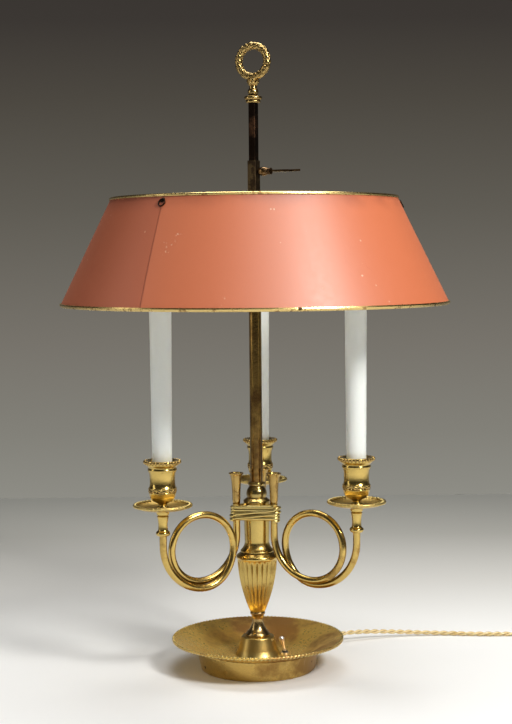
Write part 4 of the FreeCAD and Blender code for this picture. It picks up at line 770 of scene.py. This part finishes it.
def ribbon_round(level_start, level_end, turns, spread):
    """A line that winds round the three horns and climbs from one level to another. With no
    turns it only crosses the front, from the left horn to the right one."""
    spots = [horn_spot(turn) for turn in ARM_TURNS]
    ring = []
    for index, here in enumerate(spots):
        following, before = spots[(index + 1) % 3], spots[index - 1]
        ways = [(here - before).normalized(), (following - here).normalized()]
        start, end = (math.atan2(-way.x, way.y) for way in ways)
        if end < start:
            end += 2 * math.pi
        for step in range(13):
            angle = start + (end - start) * step / 12
            ring.append(here + Vector((math.cos(angle), math.sin(angle), 0)) * spread)
        leave, arrive = ring[-1], following + Vector((ways[1].y, -ways[1].x, 0)) * spread
        ring += [leave.lerp(arrive, share / 6) for share in range(1, 6)]
    if not turns:
        ring = ring[36:] + ring[:13]
        return [point * (0.93 if index in (0, len(ring) - 1) else 1) + Vector((0, 0, level_start
                + (level_end - level_start) * min(max((index - 9) / (len(ring) - 19), 0), 1)))
                for index, point in enumerate(ring)]
    total = len(ring) * turns
    return [ring[index % len(ring)] + Vector((0, 0, level_start + (level_end - level_start) * index / total))
            for index in range(int(total) + 1)]


def wound_ribbon():
    """The ribbon's rounds, with two strands that cross them in front."""
    low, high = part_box("ribbon_band")
    strand = 0.00205
    bm = bmesh.new()
    wound = ribbon_round(low.z + strand, high.z - strand, 5, 0.0046)
    bm.from_mesh(wire_mesh("wound", [wound], strand, sides=3))
    for start, end in ((0.0032, 0.0118), (0.0072, 0.0162)):
        line = ribbon_round(low.z + start, low.z + end, 0, 0.0062)
        bm.from_mesh(wire_mesh("crossing", [line], strand * 0.8, sides=2))
    return cast("wound_ribbon", bm, "root", RIBBON, ("ribbon_band",))


# Finial: leafy wreath and leaf collar

def leafy_wreath():
    """A ring of rows of small leaves that overlap round a round core."""
    bm = bmesh.new()
    low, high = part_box("wreath_ring")
    tube = 0.0036
    face = (Matrix.Translation((0, 0, (low.z + high.z) / 2 - 0.0009)) @ turn_about(-24)
            @ Matrix.Rotation(math.radians(90), 4, "X"))
    reach = (high.z - low.z) / 2 - tube - 0.0002
    bmesh.ops.create_circle(bm, segments=16, radius=tube, matrix=face @ Matrix.Translation((reach, 0, 0))
                            @ Matrix.Rotation(math.radians(90), 4, "X"))
    axis = face.to_3x3() @ Vector((0, 0, 1))
    bmesh.ops.spin(bm, geom=bm.edges[:], cent=face.translation, axis=axis, angle=2 * math.pi, steps=64,
                   use_merge=True)
    stations = 21
    for index in range(stations):
        for row in range(5):
            about_core = 72 * row + 36 * (index % 2)
            place = (face @ turn_about(360 / stations * (index + 0.2 * row))
                     @ Matrix.Translation((reach, 0, 0)) @ Matrix.Rotation(math.radians(about_core), 4, "Y")
                     @ Matrix.Translation((tube - 0.0003, 0, 0)) @ turn_about(90)
                     @ Matrix.Rotation(math.radians(-14), 4, "Y")
                     @ Matrix.Rotation(math.radians(90), 4, "X"))
            add_leaf(bm, LEAF, place, (0.0037, 0.0023, 0.0011))
    return cast("leafy_wreath", bm, "root", CAST, ("wreath_ring",))


def collar_leaves():
    """Eight leaves that stand round the finial's neck, under the wreath."""
    bm = bmesh.new()
    for index in range(8):
        place = (turn_about(45 * index) @ Matrix.Translation((0.0054, 0, 0.6372))
                 @ Matrix.Rotation(math.radians(-62), 4, "Y"))
        add_leaf(bm, LEAF, place, (0.0034, 0.0024, 0.0011))
    return cast("collar_leaves", bm, "root", CAST)


# Filaments in the bulbs

def filament(number):
    """A bulb's coiled filament on its two legs."""
    low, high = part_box(f"bulb_{number}")
    middle = (low + high) / 2
    coil = [Vector((middle.x + 0.004 * math.cos(step * 0.7), middle.y + 0.004 * math.sin(step * 0.7),
                    low.z + 0.026 + 0.00022 * step)) for step in range(90)]
    legs = [[Vector((middle.x, middle.y + side * 0.001, low.z - 0.001)), coil[end]]
            for side, end in ((-1, 0), (1, -1))]
    mesh = wire_mesh(f"filament_{number}", [coil, *legs], 0.00022, sides=1)
    return finish_piece(f"filament_{number}", mesh, "root", STEEL)


dish_bowl()
foot_band()
dish_rope_rim()
toggle_lever()
horn_bells()
screw_cups()
wound_ribbon()
leafy_wreath()
collar_leaves()
for arm in (1, 2, 3):
    pan_rim(arm)
    candle_cup(arm)
    cup_ornament(arm)
    filament(arm)


# Floor, backdrop and light

def ramp(tree, value, stops):
    """A colour that changes along a value from stop to stop."""
    made = node(tree, "ShaderNodeValToRGB", {0: value})
    for index, (at, colour) in enumerate(stops):
        mark = made.color_ramp.elements[index] if index < 2 else made.color_ramp.elements.new(at)
        mark.position = at
        mark.color = (*colour, 1)
    return made.outputs[0]


def floor():
    """A pale floor with painted shade: it darkens towards the backdrop and a little towards its right."""
    material, shader, tree = empty_finish("pale_floor")
    part = node(tree, "ShaderNodeSeparateXYZ", {0: place_of(tree)}).outputs
    away = node(tree, "ShaderNodeMapRange", {0: part[1], 1: -0.4, 2: 1.2}).outputs[0]
    # Painted shade: the floor darkens with distance towards the backdrop.
    pale = ramp(tree, away, [(0.0, (0.95, 0.95, 0.945)), (1.0, (0.36, 0.36, 0.335)),
                             (0.33, (0.93, 0.93, 0.91)), (0.52, (0.70, 0.69, 0.655)),
                             (0.75, (0.47, 0.465, 0.43))])
    # Painted light: the floor's left is a little paler than its right.
    aside = node(tree, "ShaderNodeMapRange", {0: part[0], 1: -0.5, 2: 0.5, 3: 0.94, 4: 0.90}).outputs[0]
    tree.links.new(blend(tree, 1.0, pale, aside, "MULTIPLY"), shader.inputs["Base Color"])
    shader.inputs["Roughness"].default_value = 0.75
    shader.inputs["Specular IOR Level"].default_value = 0.1
    return material


def backdrop():
    """A grey backdrop that glows at its own colour for camera, glossy and transmission rays, with painted
    shade darker towards its top, and clear from behind.
    """
    material = bpy.data.materials.new("grey_backdrop")
    material.use_nodes = True
    tree = material.node_tree
    tree.nodes.clear()
    up = node(tree, "ShaderNodeSeparateXYZ", {0: place_of(tree)}).outputs[2]
    # Painted shade: the backdrop darkens towards its top.
    colour = ramp(tree, maths(tree, "DIVIDE", up, 1.2), [
        (0.0, (0.27, 0.265, 0.235)), (1.0, (0.033, 0.028, 0.025)), (0.10, (0.225, 0.218, 0.19)),
        (0.24, (0.185, 0.172, 0.148)), (0.45, (0.115, 0.106, 0.088)), (0.62, (0.072, 0.064, 0.052)),
        (0.74, (0.045, 0.039, 0.034))])
    # Painted light: the rays that see the backdrop get its colour as a glow, not as lit paint.
    seen = tree.nodes.new("ShaderNodeLightPath").outputs
    straight = maths(tree, "MAXIMUM", maths(tree, "MAXIMUM", seen["Is Camera Ray"], seen["Is Glossy Ray"]),
                     seen["Is Transmission Ray"])
    lit = node(tree, "ShaderNodeBsdfDiffuse", {0: colour}).outputs[0]
    glow = node(tree, "ShaderNodeEmission", {0: colour, 1: 1.0}).outputs[0]
    mixed = node(tree, "ShaderNodeMixShader", {0: straight, 1: lit, 2: glow}).outputs[0]
    back = tree.nodes.new("ShaderNodeNewGeometry").outputs["Backfacing"]
    clear = tree.nodes.new("ShaderNodeBsdfTransparent").outputs[0]
    shown = node(tree, "ShaderNodeMixShader", {0: back, 1: mixed, 2: clear}).outputs[0]
    node(tree, "ShaderNodeOutputMaterial", {0: shown})
    return material


def stage_sheet(name, size, place, material):
    """A flat sheet of the stage, which isn't part of the lamp."""
    bm = bmesh.new()
    bmesh.ops.create_grid(bm, x_segments=1, y_segments=1, size=0.5,
                          matrix=place @ Matrix.Diagonal((*size, 1, 1)))
    mesh = bpy.data.meshes.new(name)
    bm.to_mesh(mesh)
    bm.free()
    mesh.materials.append(material)
    sheet = bpy.data.objects.new(name, mesh)
    scene.collection.objects.link(sheet)


stage_sheet("floor", (12, 7.2), Matrix.Translation((0, -2.4, 0)), floor())
stage_sheet("backdrop", (12, 6), Matrix.Translation((0, 1.2, 3)) @ Matrix.Rotation(math.radians(90), 4, "X"),
            backdrop())


def soft_light(name, place, aim, size, power, colour=(1, 1, 1)):
    """A soft box at a place, turned towards a point."""
    lamp = bpy.data.lights.new(name, "AREA")
    lamp.shape = "RECTANGLE"
    lamp.size, lamp.size_y = size
    lamp.energy = power
    lamp.color = colour
    holder = bpy.data.objects.new(name, lamp)
    way = Vector(aim) - Vector(place)
    holder.matrix_world = Matrix.Translation(place) @ way.to_track_quat("-Z", "Y").to_matrix().to_4x4()
    holder.visible_camera = False
    scene.collection.objects.link(holder)


soft_light("key_box", (1.02, -1.14, 1.42), (0, 0, 0.3), (0.42, 0.42), 29, (1, 0.985, 0.96))
soft_light("front_box", (0.30, -1.15, 1.85), (0, -0.1, 0.3), (0.9, 0.4), 5, (1, 0.985, 0.96))
soft_light("left_box", (-1.7, -0.3, 0.8), (0, 0, 0.2), (0.35, 1.2), 3, (1, 0.97, 0.93))
soft_light("top_box", (0.1, 0.35, 1.9), (0, 0.1, 0.0), (1.3, 0.9), 22)

# The room is dimmer where metal mirrors it, which keeps the brass deep.
ROOM_LEVEL = 0.42
MIRRORED_LEVEL = 0.16
world = bpy.data.worlds.new("studio")
scene.world = world
world.use_nodes = True
room = world.node_tree
room.nodes["Background"].inputs[0].default_value = (0.42, 0.41, 0.39, 1)
mirrored = room.nodes.new("ShaderNodeLightPath").outputs["Is Glossy Ray"]
room.links.new(maths(room, "MULTIPLY_ADD", mirrored, MIRRORED_LEVEL - ROOM_LEVEL, ROOM_LEVEL),
               room.nodes["Background"].inputs[1])
